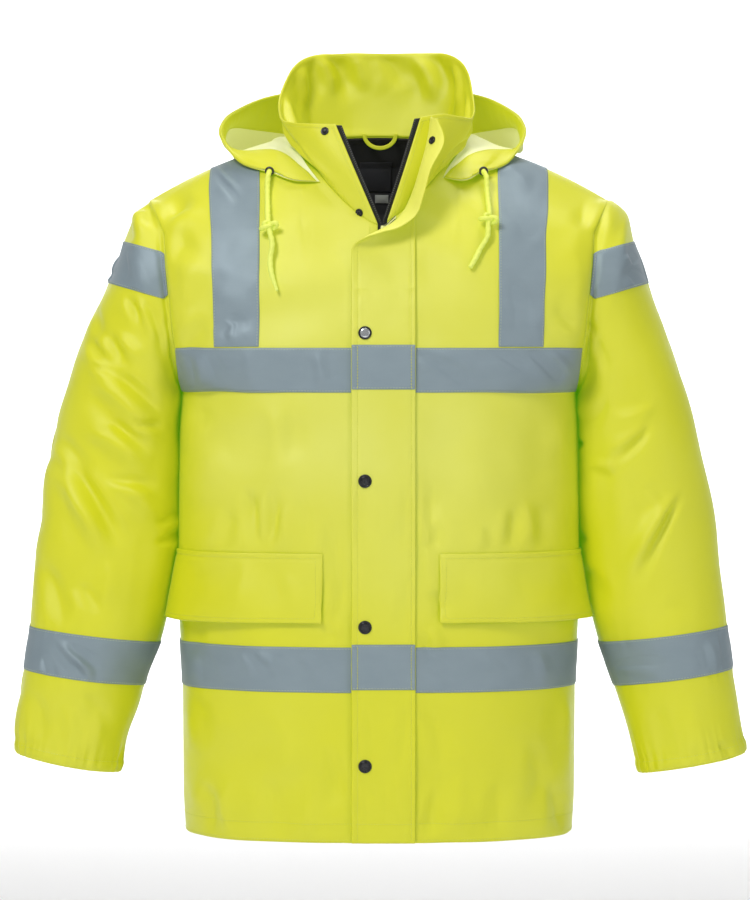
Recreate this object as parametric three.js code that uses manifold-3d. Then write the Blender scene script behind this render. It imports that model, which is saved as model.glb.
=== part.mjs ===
// Hi-vis work jacket, filled out as if worn: zip closed to the neck, collar open, hood rolled down.
// Millimetres, +Z up, +X to the wearer's left, -Y to the front. The origin is at neck level, at the
// middle of the body, where a wearer's shoulders hold the jacket up.
import * as THREE from "three";
import { mergeVertices } from "three/addons/utils/BufferGeometryUtils.js";
import Module from "manifold-3d";

// Walls and gaps
const CLOTH = 3; // padded cloth of the body, the sleeves and the collar
const THIN = 1.2; // one layer of cloth or tape
const GAP = 0.3; // between two pieces that touch
const TAPE_WIDTH = 50; // reflective tape

// Heights
const UNDERARM_Z = -298;
const NECK_Z = -12; // shoulder seam at the neck
const CHEST_TAPE_TOP = -249;
const LOWER_TAPE_TOP = -582;
const POCKET_TOP = -478;
const POCKET_BOTTOM = -554;
const NECK_FRONT_DROP = 100;
const NECK_BACK_RISE = 34;
const NECK_BACK_DROP = 24;

// Widths and depths, from the middle
const NECK_HALF = 88;
const SHOULDER_HALF = 262;
const CHEST_HALF = 226;
const ARMHOLE_REACH = 95; // how far the armhole bows to the front and to the back
const SECTION_POWER = 2.5; // the body's squarish oval
const BACK_SHOULDER_POWER = 2.6; // how squarely the back turns over the shoulder
const NECK_FRONT_POWER = 1.3; // the neckline's V in front
const BLEND_POWER = 6; // only the outer columns follow the armhole
const SHOULDER_SLOPE = 0.159;
const SHOULDER_BEND = 0.00129;
const SHOULDER_Z = crestZ(SHOULDER_HALF, false); // top of the armhole

// The closing
const ZIP_X = 4;
const ZIP_HALF = 6; // from the zip's middle to the edge of each front
const ZIP_BEHIND = 6; // zip tape behind each front
const ZIP_SETBACK = 0.7; // from the inside of each front to the tape
const ZIP_COLLAR_ROW = 1; // first collar row that the tape follows
const ZIP_COLLAR_SETBACK = 2.4; // more of it along the collar
const FLAP_EDGE_X = -30;
const FLAP_SEAM_X = 40;

const COLOURS = {
  cloth: 0xe4e62a,
  tape: 0x93a4ae,
  black: 0x17181a,
  metal: 0x3a3c3e,
  label: 0x24262b,
  grey: 0x8f938c,
  pale: 0xe9ecae,
};

// Half width and half depths of the body's sections
const BODY = [
  { z: -800, half: 222, front: 158, back: 148 },
  { z: -760, half: 224.5, front: 161, back: 150 },
  { z: -600, half: 226, front: 164, back: 151 },
  { z: -400, half: 226, front: 166, back: 152 },
  { z: UNDERARM_Z, half: CHEST_HALF, front: 165, back: 155 },
];

// Half width at the armhole seam
const ARMHOLE = [
  { z: UNDERARM_Z, half: CHEST_HALF },
  { z: -265, half: 229 },
  { z: -231, half: 233 },
  { z: -195, half: 236 },
  { z: -157, half: 240 },
  { z: -119, half: 243 },
  { z: -100, half: 252 },
  { z: SHOULDER_Z, half: SHOULDER_HALF },
];

const BODY_ROWS = [-800, -760, -696, -632, LOWER_TAPE_TOP, POCKET_BOTTOM, -516, POCKET_TOP, -425, -370,
  -330, UNDERARM_Z, -290, -272, CHEST_TAPE_TOP];
const FAN_ROWS = 7; // rows from the chest tape up to the neckline and the shoulder seam
const ARMHOLE_FROM = BODY_ROWS.indexOf(UNDERARM_Z);

// Columns, as shares of the half width
const BRACE_COLUMNS = [0.59, 0.807];
const OUTER_COLUMNS = [0.39, 0.48, ...BRACE_COLUMNS, 0.9, 0.96, 0.99, 1];
const RIGHT_EDGE = (ZIP_HALF - ZIP_X) / CHEST_HALF;
const LEFT_EDGE = (ZIP_HALF + ZIP_X) / CHEST_HALF;
const RIGHT_COLUMNS = [RIGHT_EDGE, 0.07, 0.14, 0.215, 0.28, 0.335, 0.37, ...OUTER_COLUMNS];
const LEFT_COLUMNS = [LEFT_EDGE, 0.11, 0.177, 0.24, 0.3, 0.34, 0.37, ...OUTER_COLUMNS];
const BACK_COLUMNS = [0, 0.13, 0.24, 0.32, ...OUTER_COLUMNS];
const POCKET_COLUMN = 4; // inner edge of each pocket flap
const POCKET_WALL = 2.4;
const POCKET_FLARE = { off: 3, outer: 12, power: 1.3 }; // how far its lower edge stands off

// Sleeve rings: outer and inner edge as seen from the front, half depth and middle in y.
// The wearer's left arm lies a little nearer to the body.
const SLEEVE = [
  { outerZ: -95, outer: 281, leftOuter: 283, innerZ: -313, inner: 228.5, depth: 93, y: 0 },
  { outerZ: -125, outer: 292, leftOuter: 292, innerZ: -332, inner: 229.5, depth: 91, y: 0 },
  { outerZ: -180, outer: 314, leftOuter: 311, innerZ: -360, inner: 230, depth: 88, y: -1 },
  { outerZ: -235, outer: 339, leftOuter: 332, innerZ: -390, inner: 231, depth: 85, y: -2 },
  { outerZ: -290, outer: 357, leftOuter: 349, innerZ: -420, inner: 232, depth: 83, y: -3 },
  { outerZ: -345, outer: 372, leftOuter: 364, innerZ: -450, inner: 233, depth: 81, y: -4 },
  { outerZ: -400, outer: 383, leftOuter: 377, innerZ: -480, inner: 235, depth: 80, y: -5 },
  { outerZ: -452, outer: 389, leftOuter: 386, innerZ: -509, inner: 239, depth: 79, y: -6 },
  { outerZ: -510, outer: 397, leftOuter: 392, innerZ: -546, inner: 245, depth: 77, y: -8 },
  { outerZ: -566, outer: 402, leftOuter: 400, innerZ: -584, inner: 254, depth: 74, y: -10 },
  { outerZ: -615, outer: 408, leftOuter: 406, innerZ: -634, inner: 271, depth: 70, y: -12 },
  { outerZ: -663, outer: 415, leftOuter: 412, innerZ: -684, inner: 285, depth: 65, y: -14 },
  { outerZ: -711, outer: 418, leftOuter: 420, innerZ: -734, inner: 298, depth: 61, y: -16 },
];
const SLEEVE_POWER = 2.15;
const LOWER_BAND_RING = 10; // first ring of the lower sleeve tape
const UPPER_BAND = { x: 268, z: -160, slant: 0.28, rings: 7 }; // middle and slant of the upper sleeve tape
const BAND_SLAB = { x: 180, y: 260 }; // slab that cuts it out of its shell

// The largest folds of each sleeve: where along it, where round it, their reach and their depth
const SLEEVE_FOLDS = {
  right: [
    { along: 5.0, angle: 62, reach: 0.8, spread: 34, depth: 5 },
    { along: 6.6, angle: 118, reach: 0.8, spread: 40, depth: 6 },
    { along: 8.2, angle: 70, reach: 0.7, spread: 38, depth: 5 },
    { along: 6.4, angle: 236, reach: 0.9, spread: 40, depth: 5 },
    { along: 8.4, angle: 292, reach: 0.8, spread: 36, depth: 4 },
  ],
  left: [
    { along: 7.6, angle: 84, reach: 0.9, spread: 44, depth: 5 },
    { along: 5.4, angle: 132, reach: 0.8, spread: 30, depth: 3 },
    { along: 6.8, angle: 250, reach: 0.9, spread: 40, depth: 5 },
  ],
};

// Collar rim, from the back (share 0) to the front corner (share 1)
const COLLAR_RIM = [
  { share: 0, right: 0, left: 0, y: 94, rightZ: 95, leftZ: 95 },
  { share: 0.12, right: 45, left: 45, y: 93, rightZ: 95, leftZ: 95 },
  { share: 0.24, right: 80, left: 78, y: 80, rightZ: 91, leftZ: 94 },
  { share: 0.34, right: 99, left: 97, y: 54, rightZ: 77, leftZ: 82 },
  { share: 0.44, right: 111, left: 106, y: 24, rightZ: 52, leftZ: 57 },
  { share: 0.56, right: 116, left: 110, y: -8, rightZ: 26, leftZ: 30 },
  { share: 0.68, right: 112, left: 108, y: -42, rightZ: 11, leftZ: 13 },
  { share: 0.8, right: 98, left: 92, y: -72, rightZ: 5, leftZ: 12 },
  { share: 0.9, right: 76, left: 72, y: -92, rightZ: 3, leftZ: 14 },
  { share: 1, right: 50, left: 48, y: -106, rightZ: 2, leftZ: 10 },
];
const COLLAR_ROWS = [0, 0.12, 0.3, 0.5, 0.75, 1];
const COLLAR_BULGE = 5;

// Hood, rolled down: its section from the neck down into the sac and out to the rim, from the
// middle of the back (share 0) to its front end (share 1)
const HOOD = [
  { share: 0, neck: 0, near: [0, 130, -60], low: [0, 174, -205],
    far: [0, 208, -90], rim: [0, 146, 56] },
  { share: 0.2, neck: 0.2, near: [64, 124, -58], low: [84, 174, -188],
    far: [98, 202, -80], rim: [80, 132, 55] },
  { share: 0.4, neck: 0.34, near: [103, 95, -26], low: [134, 146, -112],
    far: [157, 150, -50], rim: [128, 98, 42] },
  { share: 0.56, neck: 0.43, near: [116, 45, -9], low: [148, 87, -38],
    far: [174, 86, -20], rim: [157, 52, 19] },
  { share: 0.7, neck: 0.51, near: [117, 6, -10], low: [148, 24, -22],
    far: [176, 22, -20], rim: [173, 12, 4] },
  { share: 0.82, neck: 0.59, near: [115, -26, -17], low: [143, -14, -21],
    far: [171, -14, -25], rim: [179, -18, -11] },
  { share: 0.91, neck: 0.67, near: [107, -56, -28], low: [126, -50, -30],
    far: [146, -48, -34], rim: [158, -52, -38] },
  { share: 1, neck: 0.74, near: [95, -80, -44], low: [103, -79, -45],
    far: [111, -78, -47], rim: [119, -79, -49] },
];
const HOOD_COLUMNS = 13; // in each half
const HOOD_ROWS = 10; // in the section
const HOOD_WALL = 2;
const HOOD_NECK_ROW = 1.35; // collar row where it starts
const HOOD_NECK_OUT = HOOD_WALL + 4.5;
const HOOD_LEFT_SHARE = 0.85; // the left side lies nearer to the neck
const FACING_ROWS = 2;

// Storm flap above the chest: its free edge beside its seam, and the point that its curve leans to
const FLAP_STANDOFF = 1.8; // between the flap and the fronts
const FLAP_WALL = 2;
const FLAP_COLUMNS = 5;
const FLAP_TAPE_RISE = 3.5; // its tape sits higher than the fronts' tape
const FLAP_PLAIN = [-215, -180]; // rows that still lie flat
const FLAP_OPENING = [
  { z: -150, edge: [-70, -4, -1], lean: [-36, 0, 0] },
  { z: -131, edge: [-68, -12, -5], lean: [-40, 0, 0] },
  { z: -116, edge: [-55, -22, -8], lean: [-38, -1, 0] },
  { z: -103, edge: [-36, -30, -9], lean: [-28, -3, -1] },
  { z: -91, edge: [-20, -36, -12], lean: [-20, -8, -2] },
];
const FLAP_ON_COLLAR = [
  { up: 0.07, edge: [-4, -39, -10], lean: [-16, -15, -2] },
  { up: 0.22, edge: [1, -40, -7], lean: [-13, -20, -1] },
  { up: 0.44, edge: [7, -38, -5], lean: [-10, -22, 0] },
  { up: 0.72, edge: [16, -34, -3], lean: [-7, -20, 0] },
  { up: 0.97, edge: [5, -28, -3], lean: [-5, -16, 0] },
];
const FLAP_SEAM_SHARES = { bottom: 0.885, top: 0.945 }; // its seam on the collar, as shares round the neck

// Small parts
const CAP = { radius: 7.5, height: 2.2 };
const STUD = { radius: 4.7, height: 3 };
const FLAP_CAP_X = -15.5;
const FLAP_CAP_Z = [-232, -396.5, -559, -714];
const SLIDER = { z: -113, lean: 0.46, half: 4.5, front: 1.4, back: 2.8, bottom: -11, top: 2.5,
  bar: 0.8, barY: -2.2, barBottom: -8, barTop: 1, foot: 1.4 };
const PULL_TAB = { eye: 2, hole: 1.15, bottom: -6.2, top: -0.8, thick: 1.2, reach: 15, rise: 14, width: 5 };
const COLLAR_STUDS = [{ signed: -0.93, up: 0.96 }, { signed: -0.92, up: 0.1 }];
const FLAP_SOCKET = { down: 1, across: 1.6 }; // grid place, from the flap's top edge and its seam
const SEAT = 0.4; // between a small hard part and the cloth below it
const FACING_OUT = HOOD_WALL + GAP;
const EYELET = { radius: 4.6, hole: 2.2, height: 1.2, column: 0.5, row: 0.9,
  off: FACING_OUT + THIN + SEAT };
const CORD_LIFT = 6;
// Each drawcord from its eyelet down to its free end: x, z and how far it stands off the front
const CORD_ROUTES = {
  right: [[-125, -56, 14], [-125.5, -68, 8], [-125, -87, 6], [-124, -106, 11], [-122, -118, 12],
    [-119, -134, 9], [-121, -148, 7], [-120, -164, 7], [-113, -186, 6]],
  left: [[121, -56, 14], [121.5, -68, 8], [122.5, -84, 6], [123.5, -98, 12], [122, -110, 13],
    [121, -124, 10], [113, -138, 7], [107, -150, 7], [101, -160, 6]],
};
const NECK_LABEL = { left: -22, right: 15, bottom: -62, top: -28 };
const SIZE_LABEL = { left: -4, right: 12, bottom: -78, top: -69 };
const LABEL_SET = THIN + GAP + 0.2;
const LABEL_WALL = 0.8;
const HANGER_LOOP = { x: 1.5, z: 1, y: 75.7, half: 18.5, drop: 16.5, width: 5, steps: 12 };
const CORD_RADIUS = 3;
const KNOT = { radius: 8, half: 6, share: 0.5 }; // share of the cord above its middle

const wasm = await Module();
wasm.setup();

// Value of a table's named column at a place between its rows, on straight lines
function lookup(rows, key, at, column) {
  const rising = rows[rows.length - 1][key] > rows[0][key];
  const passed = rows.findIndex((row) => (rising ? row[key] >= at : row[key] <= at));
  if (passed < 0) return rows[rows.length - 1][column];
  if (passed === 0) return rows[0][column];
  const [before, after] = [rows[passed - 1], rows[passed]];
  const share = (at - before[key]) / (after[key] - before[key]);
  return before[column] + (after[column] - before[column]) * share;
}

const clamp = (value, low, high) => Math.min(Math.max(value, low), high);
const oval = (share, power) => (1 - clamp(share, 0, 1) ** power) ** (1 / power);

// The body's surface

function halfWidth(z) {
  return z <= UNDERARM_Z ? lookup(BODY, "z", z, "half") : lookup(ARMHOLE, "z", z, "half");
}

function columnX(share, z) {
  if (z <= UNDERARM_Z) return share * halfWidth(z);
  return share * CHEST_HALF + (halfWidth(z) - CHEST_HALF) * share ** BLEND_POWER;
}

// Height of the shoulder seam, and of the level that the front and back curve up to within the neck
function crestZ(x, isBack) {
  const beyond = Math.abs(x) - NECK_HALF;
  if (beyond >= 0) return NECK_Z - SHOULDER_SLOPE * beyond - SHOULDER_BEND * beyond ** 2;
  return NECK_Z + (isBack ? NECK_BACK_RISE * oval(Math.abs(x) / NECK_HALF, 2) : 0);
}

function armholeReach(z) {
  const up = clamp((z - UNDERARM_Z) / (SHOULDER_Z - UNDERARM_Z), 0, 1);
  return ARMHOLE_REACH * 2 * Math.sqrt(up * (1 - up));
}

// Depth of the front (negative) or the back (positive) at a place seen from the front
function bodyY(x, z, isBack) {
  const across = oval(Math.abs(x) / halfWidth(z), SECTION_POWER);
  const depth = lookup(BODY, "z", z, isBack ? "back" : "front");
  let reach = depth * across;
  if (z > UNDERARM_Z) {
    const up = (z - UNDERARM_Z) / (crestZ(x, isBack) - UNDERARM_Z);
    reach = reach * oval(up, isBack ? BACK_SHOULDER_POWER : 2) + armholeReach(z) * (1 - across);
  }
  return (isBack ? 1 : -1) * (reach + GAP / 2);
}

function topZ(share, isBack) {
  const x = columnX(share, 0);
  if (x >= NECK_HALF) return crestZ(x, isBack);
  const round = x / NECK_HALF;
  if (isBack) return crestZ(x, true) - NECK_BACK_DROP * oval(round, 2);
  return NECK_Z - NECK_FRONT_DROP * oval(round, NECK_FRONT_POWER);
}

// Heights of one column: the level rows, then rows that fan out up to its own top
function columnHeights(share, isBack) {
  const crest = crestZ(columnX(share, 0), isBack);
  const turn = (z) => Math.asin(clamp((z - UNDERARM_Z) / (crest - UNDERARM_Z), 0, 1));
  const [from, to] = [turn(CHEST_TAPE_TOP), turn(topZ(share, isBack))];
  const heights = [...BODY_ROWS];
  for (let row = 1; row <= FAN_ROWS; row += 1) {
    heights.push(UNDERARM_Z + (crest - UNDERARM_Z) * Math.sin(from + ((to - from) * row) / FAN_ROWS));
  }
  return heights;
}

// Grids of points: grid[row][column]

function gridOf(rows, columns, point) {
  const line = (row) => Array.from({ length: columns }, (_, column) => point(row, column));
  return Array.from({ length: rows }, (_, row) => line(row));
}

// Direction into the wall at each point, from its neighbours; sign turns it inwards
function inwardOf(points, sign, wraps) {
  const [rows, columns] = [points.length, points[0].length];
  return gridOf(rows, columns, (row, column) => {
    const [above, below] = [Math.min(row + 1, rows - 1), Math.max(row - 1, 0)];
    const up = points[above][column].clone().sub(points[below][column]);
    const next = wraps ? (column + 1) % columns : Math.min(column + 1, columns - 1);
    const last = wraps ? (column + columns - 1) % columns : Math.max(column - 1, 0);
    const along = points[row][next].clone().sub(points[row][last]);
    return along.cross(up).normalize().multiplyScalar(sign);
  });
}

// Part of a patch, by its rows and columns
function cut(patch, rows, columns) {
  const pick = (grid) => grid.slice(rows[0], rows[1] + 1)
    .map((line) => line.slice(columns[0], columns[1] + 1));
  return { points: pick(patch.points), inward: pick(patch.inward), wraps: false };
}

// The same patch moved out of its surface
function lifted(patch, out) {
  const points = patch.points.map((line, row) =>
    line.map((point, column) => point.clone().addScaledVector(patch.inward[row][column], -out)));
  return { ...patch, points };
}

// Closed solid of a patch: the patch, the same points moved in, and a rim round the edges
function wall(patch, thickness) {
  const { points, inward, wraps } = patch;
  const [rows, columns] = [points.length, points[0].length];
  const inner = lifted(patch, -thickness).points;
  const positions = [];
  for (const layer of [points, inner]) {
    for (const line of layer) for (const point of line) positions.push(point.x, point.y, point.z);
  }
  const index = [];
  const at = (layer, row, column) => layer * rows * columns + row * columns + (column % columns);
  const quad = (a, b, c, d) => index.push(a, b, c, a, c, d);
  const across = wraps ? columns : columns - 1;
  for (let column = 0; column < across; column += 1) {
    for (let row = 0; row < rows - 1; row += 1) {
      quad(at(0, row, column), at(0, row, column + 1), at(0, row + 1, column + 1), at(0, row + 1, column));
      quad(at(1, row, column), at(1, row + 1, column), at(1, row + 1, column + 1), at(1, row, column + 1));
    }
    const top = rows - 1;
    quad(at(0, 0, column), at(1, 0, column), at(1, 0, column + 1), at(0, 0, column + 1));
    quad(at(0, top, column), at(0, top, column + 1), at(1, top, column + 1), at(1, top, column));
  }
  if (!wraps) {
    const end = columns - 1;
    for (let row = 0; row < rows - 1; row += 1) {
      quad(at(0, row, 0), at(0, row + 1, 0), at(1, row + 1, 0), at(1, row, 0));
      quad(at(0, row, end), at(1, row, end), at(1, row + 1, end), at(0, row + 1, end));
    }
  }
  const geometry = new THREE.BufferGeometry();
  geometry.setAttribute("position", new THREE.Float32BufferAttribute(positions, 3));
  geometry.setIndex(index);
  if (signedVolume(geometry) < 0) geometry.setIndex(index.map((_, k) => index[k - (k % 3) + 2 - (k % 3)]));
  return geometry;
}

function signedVolume(geometry) {
  const { position } = geometry.attributes;
  const corner = (k) => new THREE.Vector3().fromBufferAttribute(position, geometry.index.getX(k));
  let volume = 0;
  for (let k = 0; k < geometry.index.count; k += 3) {
    volume += corner(k).dot(corner(k + 1).cross(corner(k + 2)));
  }
  return volume / 6;
}

// Joins and cuts

function toSolid(geometry) {
  const bare = geometry.clone();
  bare.deleteAttribute("normal");
  bare.deleteAttribute("uv");
  const merged = mergeVertices(bare, 1e-4);
  return new wasm.Manifold(new wasm.Mesh({
    numProp: 3,
    vertProperties: new Float32Array(merged.attributes.position.array),
    triVerts: new Uint32Array(merged.index.array),
  }));
}

function toGeometry(solid) {
  const mesh = solid.getMesh();
  const geometry = new THREE.BufferGeometry();
  geometry.setAttribute("position", new THREE.Float32BufferAttribute(mesh.vertProperties, 3));
  geometry.setIndex(Array.from(mesh.triVerts));
  return geometry;
}

const jacket = new THREE.Group();
jacket.name = "work_jacket";

function add(name, geometry, colour, roughness = 0.6, metalness = 0) {
  const material = new THREE.MeshStandardMaterial({ color: colour, roughness, metalness });
  const mesh = new THREE.Mesh(geometry, material);
  mesh.name = name;
  jacket.add(mesh);
  return mesh;
}

// Height on the armhole, from -1 at the underarm to 1 at the shoulder
const armholeLevel = (z) => 2 * clamp((z - UNDERARM_Z) / (SHOULDER_Z - UNDERARM_Z), 0, 1) - 1;

// Direction into the wall on the armhole seam; both pieces share it but at the underarm
function armholeInward(z, side, facing, isSleeve) {
  const level = armholeLevel(z);
  const outward = new THREE.Vector3(0, facing * Math.sqrt(1 - level ** 2), Math.max(level, 0));
  outward.x = side * (level > 0 ? 0.5 * level : level * (isSleeve ? 1 : -1));
  return outward.normalize().negate();
}

// Front or back panel as a patch; shares run from the wearer's right to the left
function panel(shares, isBack) {
  const heights = shares.map((share) => columnHeights(Math.abs(share), isBack));
  const facing = isBack ? 1 : -1;
  const points = gridOf(BODY_ROWS.length + FAN_ROWS, shares.length, (row, column) => {
    const z = heights[column][row];
    const x = Math.sign(shares[column]) * columnX(Math.abs(shares[column]), z);
    return new THREE.Vector3(x, bodyY(x, z, isBack), z);
  });
  const inward = inwardOf(points, isBack ? 1 : -1, false);
  const top = points.length - 1;
  inward.forEach((line, row) => line.forEach((direction, column) => {
    const point = points[row][column];
    const side = Math.sign(point.x);
    if (row === 0) direction.setZ(0).normalize();
    if (row === top && Math.abs(point.x) > NECK_HALF) direction.set(-side * 0.3, 0, -1).normalize();
    if (Math.abs(shares[column]) === 1) {
      if (row < ARMHOLE_FROM) direction.set(-side, 0, 0);
      else direction.copy(armholeInward(point.z, side, facing, false));
    }
  }));
  return { points, inward, wraps: false };
}

const mirrored = (shares) => shares.map((share) => -share).reverse();
const right = panel(mirrored(RIGHT_COLUMNS), false);
const left = panel(LEFT_COLUMNS, false);
const back = panel([...mirrored(BACK_COLUMNS), ...BACK_COLUMNS.slice(1)], true);
add("right_front", wall(right, CLOTH), COLOURS.cloth);
add("left_front", wall(left, CLOTH), COLOURS.cloth);
add("back", wall(back, CLOTH), COLOURS.cloth);

// Reflective tape on the panels, made from their own points
const rowAt = (z) => BODY_ROWS.indexOf(z);
const TAPE_OUT = GAP + THIN;
const bands = [
  { name: "chest_tape", rows: [rowAt(UNDERARM_Z), rowAt(CHEST_TAPE_TOP)], short: 1 },
  { name: "lower_tape", rows: [rowAt(LOWER_TAPE_TOP - TAPE_WIDTH), rowAt(LOWER_TAPE_TOP)], short: 0 },
];
const lastColumn = (patch) => patch.points[0].length - 1;
for (const band of bands) {
  const pieces = [
    { name: "right", patch: right, from: band.short, to: lastColumn(right) },
    { name: "left", patch: left, from: 0, to: lastColumn(left) - band.short },
    { name: "back", patch: back, from: band.short, to: lastColumn(back) - band.short },
  ];
  for (const { name, patch, from, to } of pieces) {
    const strip = lifted(cut(patch, band.rows, [from, to]), TAPE_OUT);
    add(`${name}_${band.name}`, wall(strip, THIN), COLOURS.tape, 0.4);
  }
}

const topRow = BODY_ROWS.length + FAN_ROWS - 1;
const braceRows = [rowAt(CHEST_TAPE_TOP), topRow];
const braceFrom = (shares, sign) => shares.indexOf(sign * (sign > 0 ? BRACE_COLUMNS[0] : BRACE_COLUMNS[1]));
const backShares = [...mirrored(BACK_COLUMNS), ...BACK_COLUMNS.slice(1)];
const braces = [
  { name: "right_brace_front", patch: right, from: braceFrom(mirrored(RIGHT_COLUMNS), -1) },
  { name: "left_brace_front", patch: left, from: braceFrom(LEFT_COLUMNS, 1) },
  { name: "right_brace_back", patch: back, from: braceFrom(backShares, -1) },
  { name: "left_brace_back", patch: back, from: braceFrom(backShares, 1) },
];
for (const { name, patch, from } of braces) {
  const strip = lifted(cut(patch, braceRows, [from, from + 1]), TAPE_OUT);
  strip.points[0].forEach((point) => point.setZ(point.z + GAP + THIN));
  add(name, wall(strip, THIN), COLOURS.tape, 0.4);
}

// Pocket flaps: from the inner edge to the side seam, standing off more and more towards the hem
function pocketFlap(patch, columns, sideColumn) {
  const flap = cut(patch, [rowAt(POCKET_BOTTOM), rowAt(POCKET_TOP)], columns);
  const reach = flap.points[0].length - 1;
  flap.points = flap.points.map((line, row) => line.map((point, column) => {
    const down = 1 - row / (flap.points.length - 1);
    const outer = sideColumn === 0 ? 1 - column / reach : column / reach;
    const flare = POCKET_FLARE.off + POCKET_FLARE.outer * outer ** 2;
    const off = GAP + POCKET_WALL + down ** POCKET_FLARE.power * flare;
    return point.clone().addScaledVector(flap.inward[row][column], -off);
  }));
  return wall(flap, POCKET_WALL);
}
const rightEnd = lastColumn(right);
add("right_pocket_flap", pocketFlap(right, [1, rightEnd - POCKET_COLUMN], 0), COLOURS.cloth);
add("left_pocket_flap", pocketFlap(left, [POCKET_COLUMN, lastColumn(left) - 1], 1), COLOURS.cloth);

// Sleeves: rings that fan out from the armhole and end at the cuff

function foldDepth(folds, along, angle) {
  return folds.reduce((sum, fold) => {
    const turn = ((angle - fold.angle + 540) % 360) - 180;
    const away = ((along - fold.along) / fold.reach) ** 2 + (turn / fold.spread) ** 2;
    return sum + fold.depth * Math.exp(-away);
  }, 0);
}

function sleeve(sideName) {
  const side = sideName === "left" ? 1 : -1;
  const front = sideName === "left" ? left : right;
  const seam = sideName === "left" ? lastColumn(left) : 0;
  const heights = front.points.slice(ARMHOLE_FROM).map((line) => line[seam].z);
  const round = [...heights.slice(1).reverse().map((z) => ({ z, facing: -1 })),
    { z: UNDERARM_Z, facing: -1 }, ...heights.slice(1, -1).map((z) => ({ z, facing: 1 }))];
  const angles = round.map(({ z, facing }) => {
    const level = armholeLevel(z);
    return facing < 0 ? Math.acos(level) : 2 * Math.PI - Math.acos(level);
  });
  const seamRing = round.map(({ z, facing }) =>
    new THREE.Vector3(side * (halfWidth(z) + GAP), facing * armholeReach(z), z));
  const rings = SLEEVE.map((ring, index) => {
    const outer = side * (side > 0 ? ring.leftOuter : ring.outer);
    const inner = side * ring.inner;
    const middle = new THREE.Vector3((outer + inner) / 2, ring.y, (ring.outerZ + ring.innerZ) / 2);
    const reach = new THREE.Vector3((outer - inner) / 2, 0, (ring.outerZ - ring.innerZ) / 2);
    return angles.map((angle) => {
      const bend = (value) => Math.sign(value) * Math.abs(value) ** (2 / SLEEVE_POWER);
      const fold = foldDepth(SLEEVE_FOLDS[sideName], index, (angle * 180) / Math.PI);
      const shrink = 1 - fold / ring.depth;
      return middle.clone().addScaledVector(reach, bend(Math.cos(angle)) * shrink)
        .add(new THREE.Vector3(0, -ring.depth * bend(Math.sin(angle)) * shrink, 0));
    });
  });
  const points = [seamRing, ...rings];
  const inward = inwardOf(points, -side, true);
  inward[0].forEach((direction, column) =>
    direction.copy(armholeInward(round[column].z, side, round[column].facing, true)));
  return { points, inward, wraps: true };
}

// A band of tape cut out of a thin shell over the sleeve by a slab on a slant
function sleeveBand(patch, middle, slant, size) {
  const shell = toSolid(wall(lifted(patch, TAPE_OUT), THIN));
  const slab = new THREE.BoxGeometry(size.x, size.y, size.z);
  slab.applyMatrix4(new THREE.Matrix4().makeRotationY(slant).setPosition(middle));
  return toGeometry(shell.intersect(toSolid(slab)));
}

for (const [sideName, side] of [["right", -1], ["left", 1]]) {
  const tube = sleeve(sideName);
  add(`${sideName}_sleeve`, wall(tube, CLOTH), COLOURS.cloth);
  const upper = [0, UPPER_BAND.rings];
  const shell = { ...tube, points: tube.points.slice(...upper), inward: tube.inward.slice(...upper) };
  const middle = new THREE.Vector3(side * UPPER_BAND.x, 0, UPPER_BAND.z);
  const size = new THREE.Vector3(BAND_SLAB.x, BAND_SLAB.y, TAPE_WIDTH);
  const band = sleeveBand(shell, middle, -side * UPPER_BAND.slant, size);
  add(`${sideName}_sleeve_upper_tape`, band, COLOURS.tape, 0.4);
  const rows = [LOWER_BAND_RING, LOWER_BAND_RING + 2];
  const ring = { ...tube, points: tube.points.slice(...rows), inward: tube.inward.slice(...rows) };
  add(`${sideName}_sleeve_lower_tape`, wall(lifted(ring, TAPE_OUT), THIN), COLOURS.tape, 0.4);
}

// Collar: from the panels' own neckline points up to the rim
const neckOf = (patch, test) => patch.points[topRow].filter(test).map((point) => point.clone());
const inNeck = (point) => Math.abs(point.x) < NECK_HALF + 1;
const aroundNeck = [
  ...neckOf(right, inNeck).reverse(),
  ...neckOf(back, inNeck).slice(1, -1),
  ...neckOf(left, inNeck).reverse(),
].map((point) => point.setZ(point.z + GAP));

// Signed share of each collar column: -1 at the right front edge, 0 at the back, 1 at the left
function collarShares() {
  const runs = [0];
  aroundNeck.slice(1).forEach((point, k) => runs.push(runs[k] + point.distanceTo(aroundNeck[k])));
  return runs.map((run) => (2 * run) / runs[runs.length - 1] - 1);
}
const shares = collarShares();

function collar() {
  const rim = shares.map((signed) => {
    const share = Math.abs(signed);
    const isLeft = signed > 0;
    const x = lookup(COLLAR_RIM, "share", share, isLeft ? "left" : "right") * (isLeft ? 1 : -1);
    return new THREE.Vector3(x, lookup(COLLAR_RIM, "share", share, "y"),
      lookup(COLLAR_RIM, "share", share, isLeft ? "leftZ" : "rightZ"));
  });
  const points = gridOf(COLLAR_ROWS.length, aroundNeck.length, (row, column) => {
    const up = COLLAR_ROWS[row];
    const point = aroundNeck[column].clone().lerp(rim[column], up);
    const outward = new THREE.Vector3(point.x, point.y, 0).normalize();
    return point.addScaledVector(outward, COLLAR_BULGE * 4 * up * (1 - up));
  });
  const inward = inwardOf(points, 1, false);
  inward[0].forEach((direction) => direction.setZ(0).normalize());
  return { points, inward, wraps: false };
}
const collarPatch = collar();
add("collar", wall(collarPatch, CLOTH), COLOURS.cloth);

// A point on a patch between its grid points
function between(grid, row, column) {
  const r = Math.min(Math.floor(row), grid.length - 2);
  const c = Math.min(Math.floor(column), grid[0].length - 2);
  const lower = grid[r][c].clone().lerp(grid[r][c + 1], column - c);
  return lower.lerp(grid[r + 1][c].clone().lerp(grid[r + 1][c + 1], column - c), row - r);
}

// Hood and its facing

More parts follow.
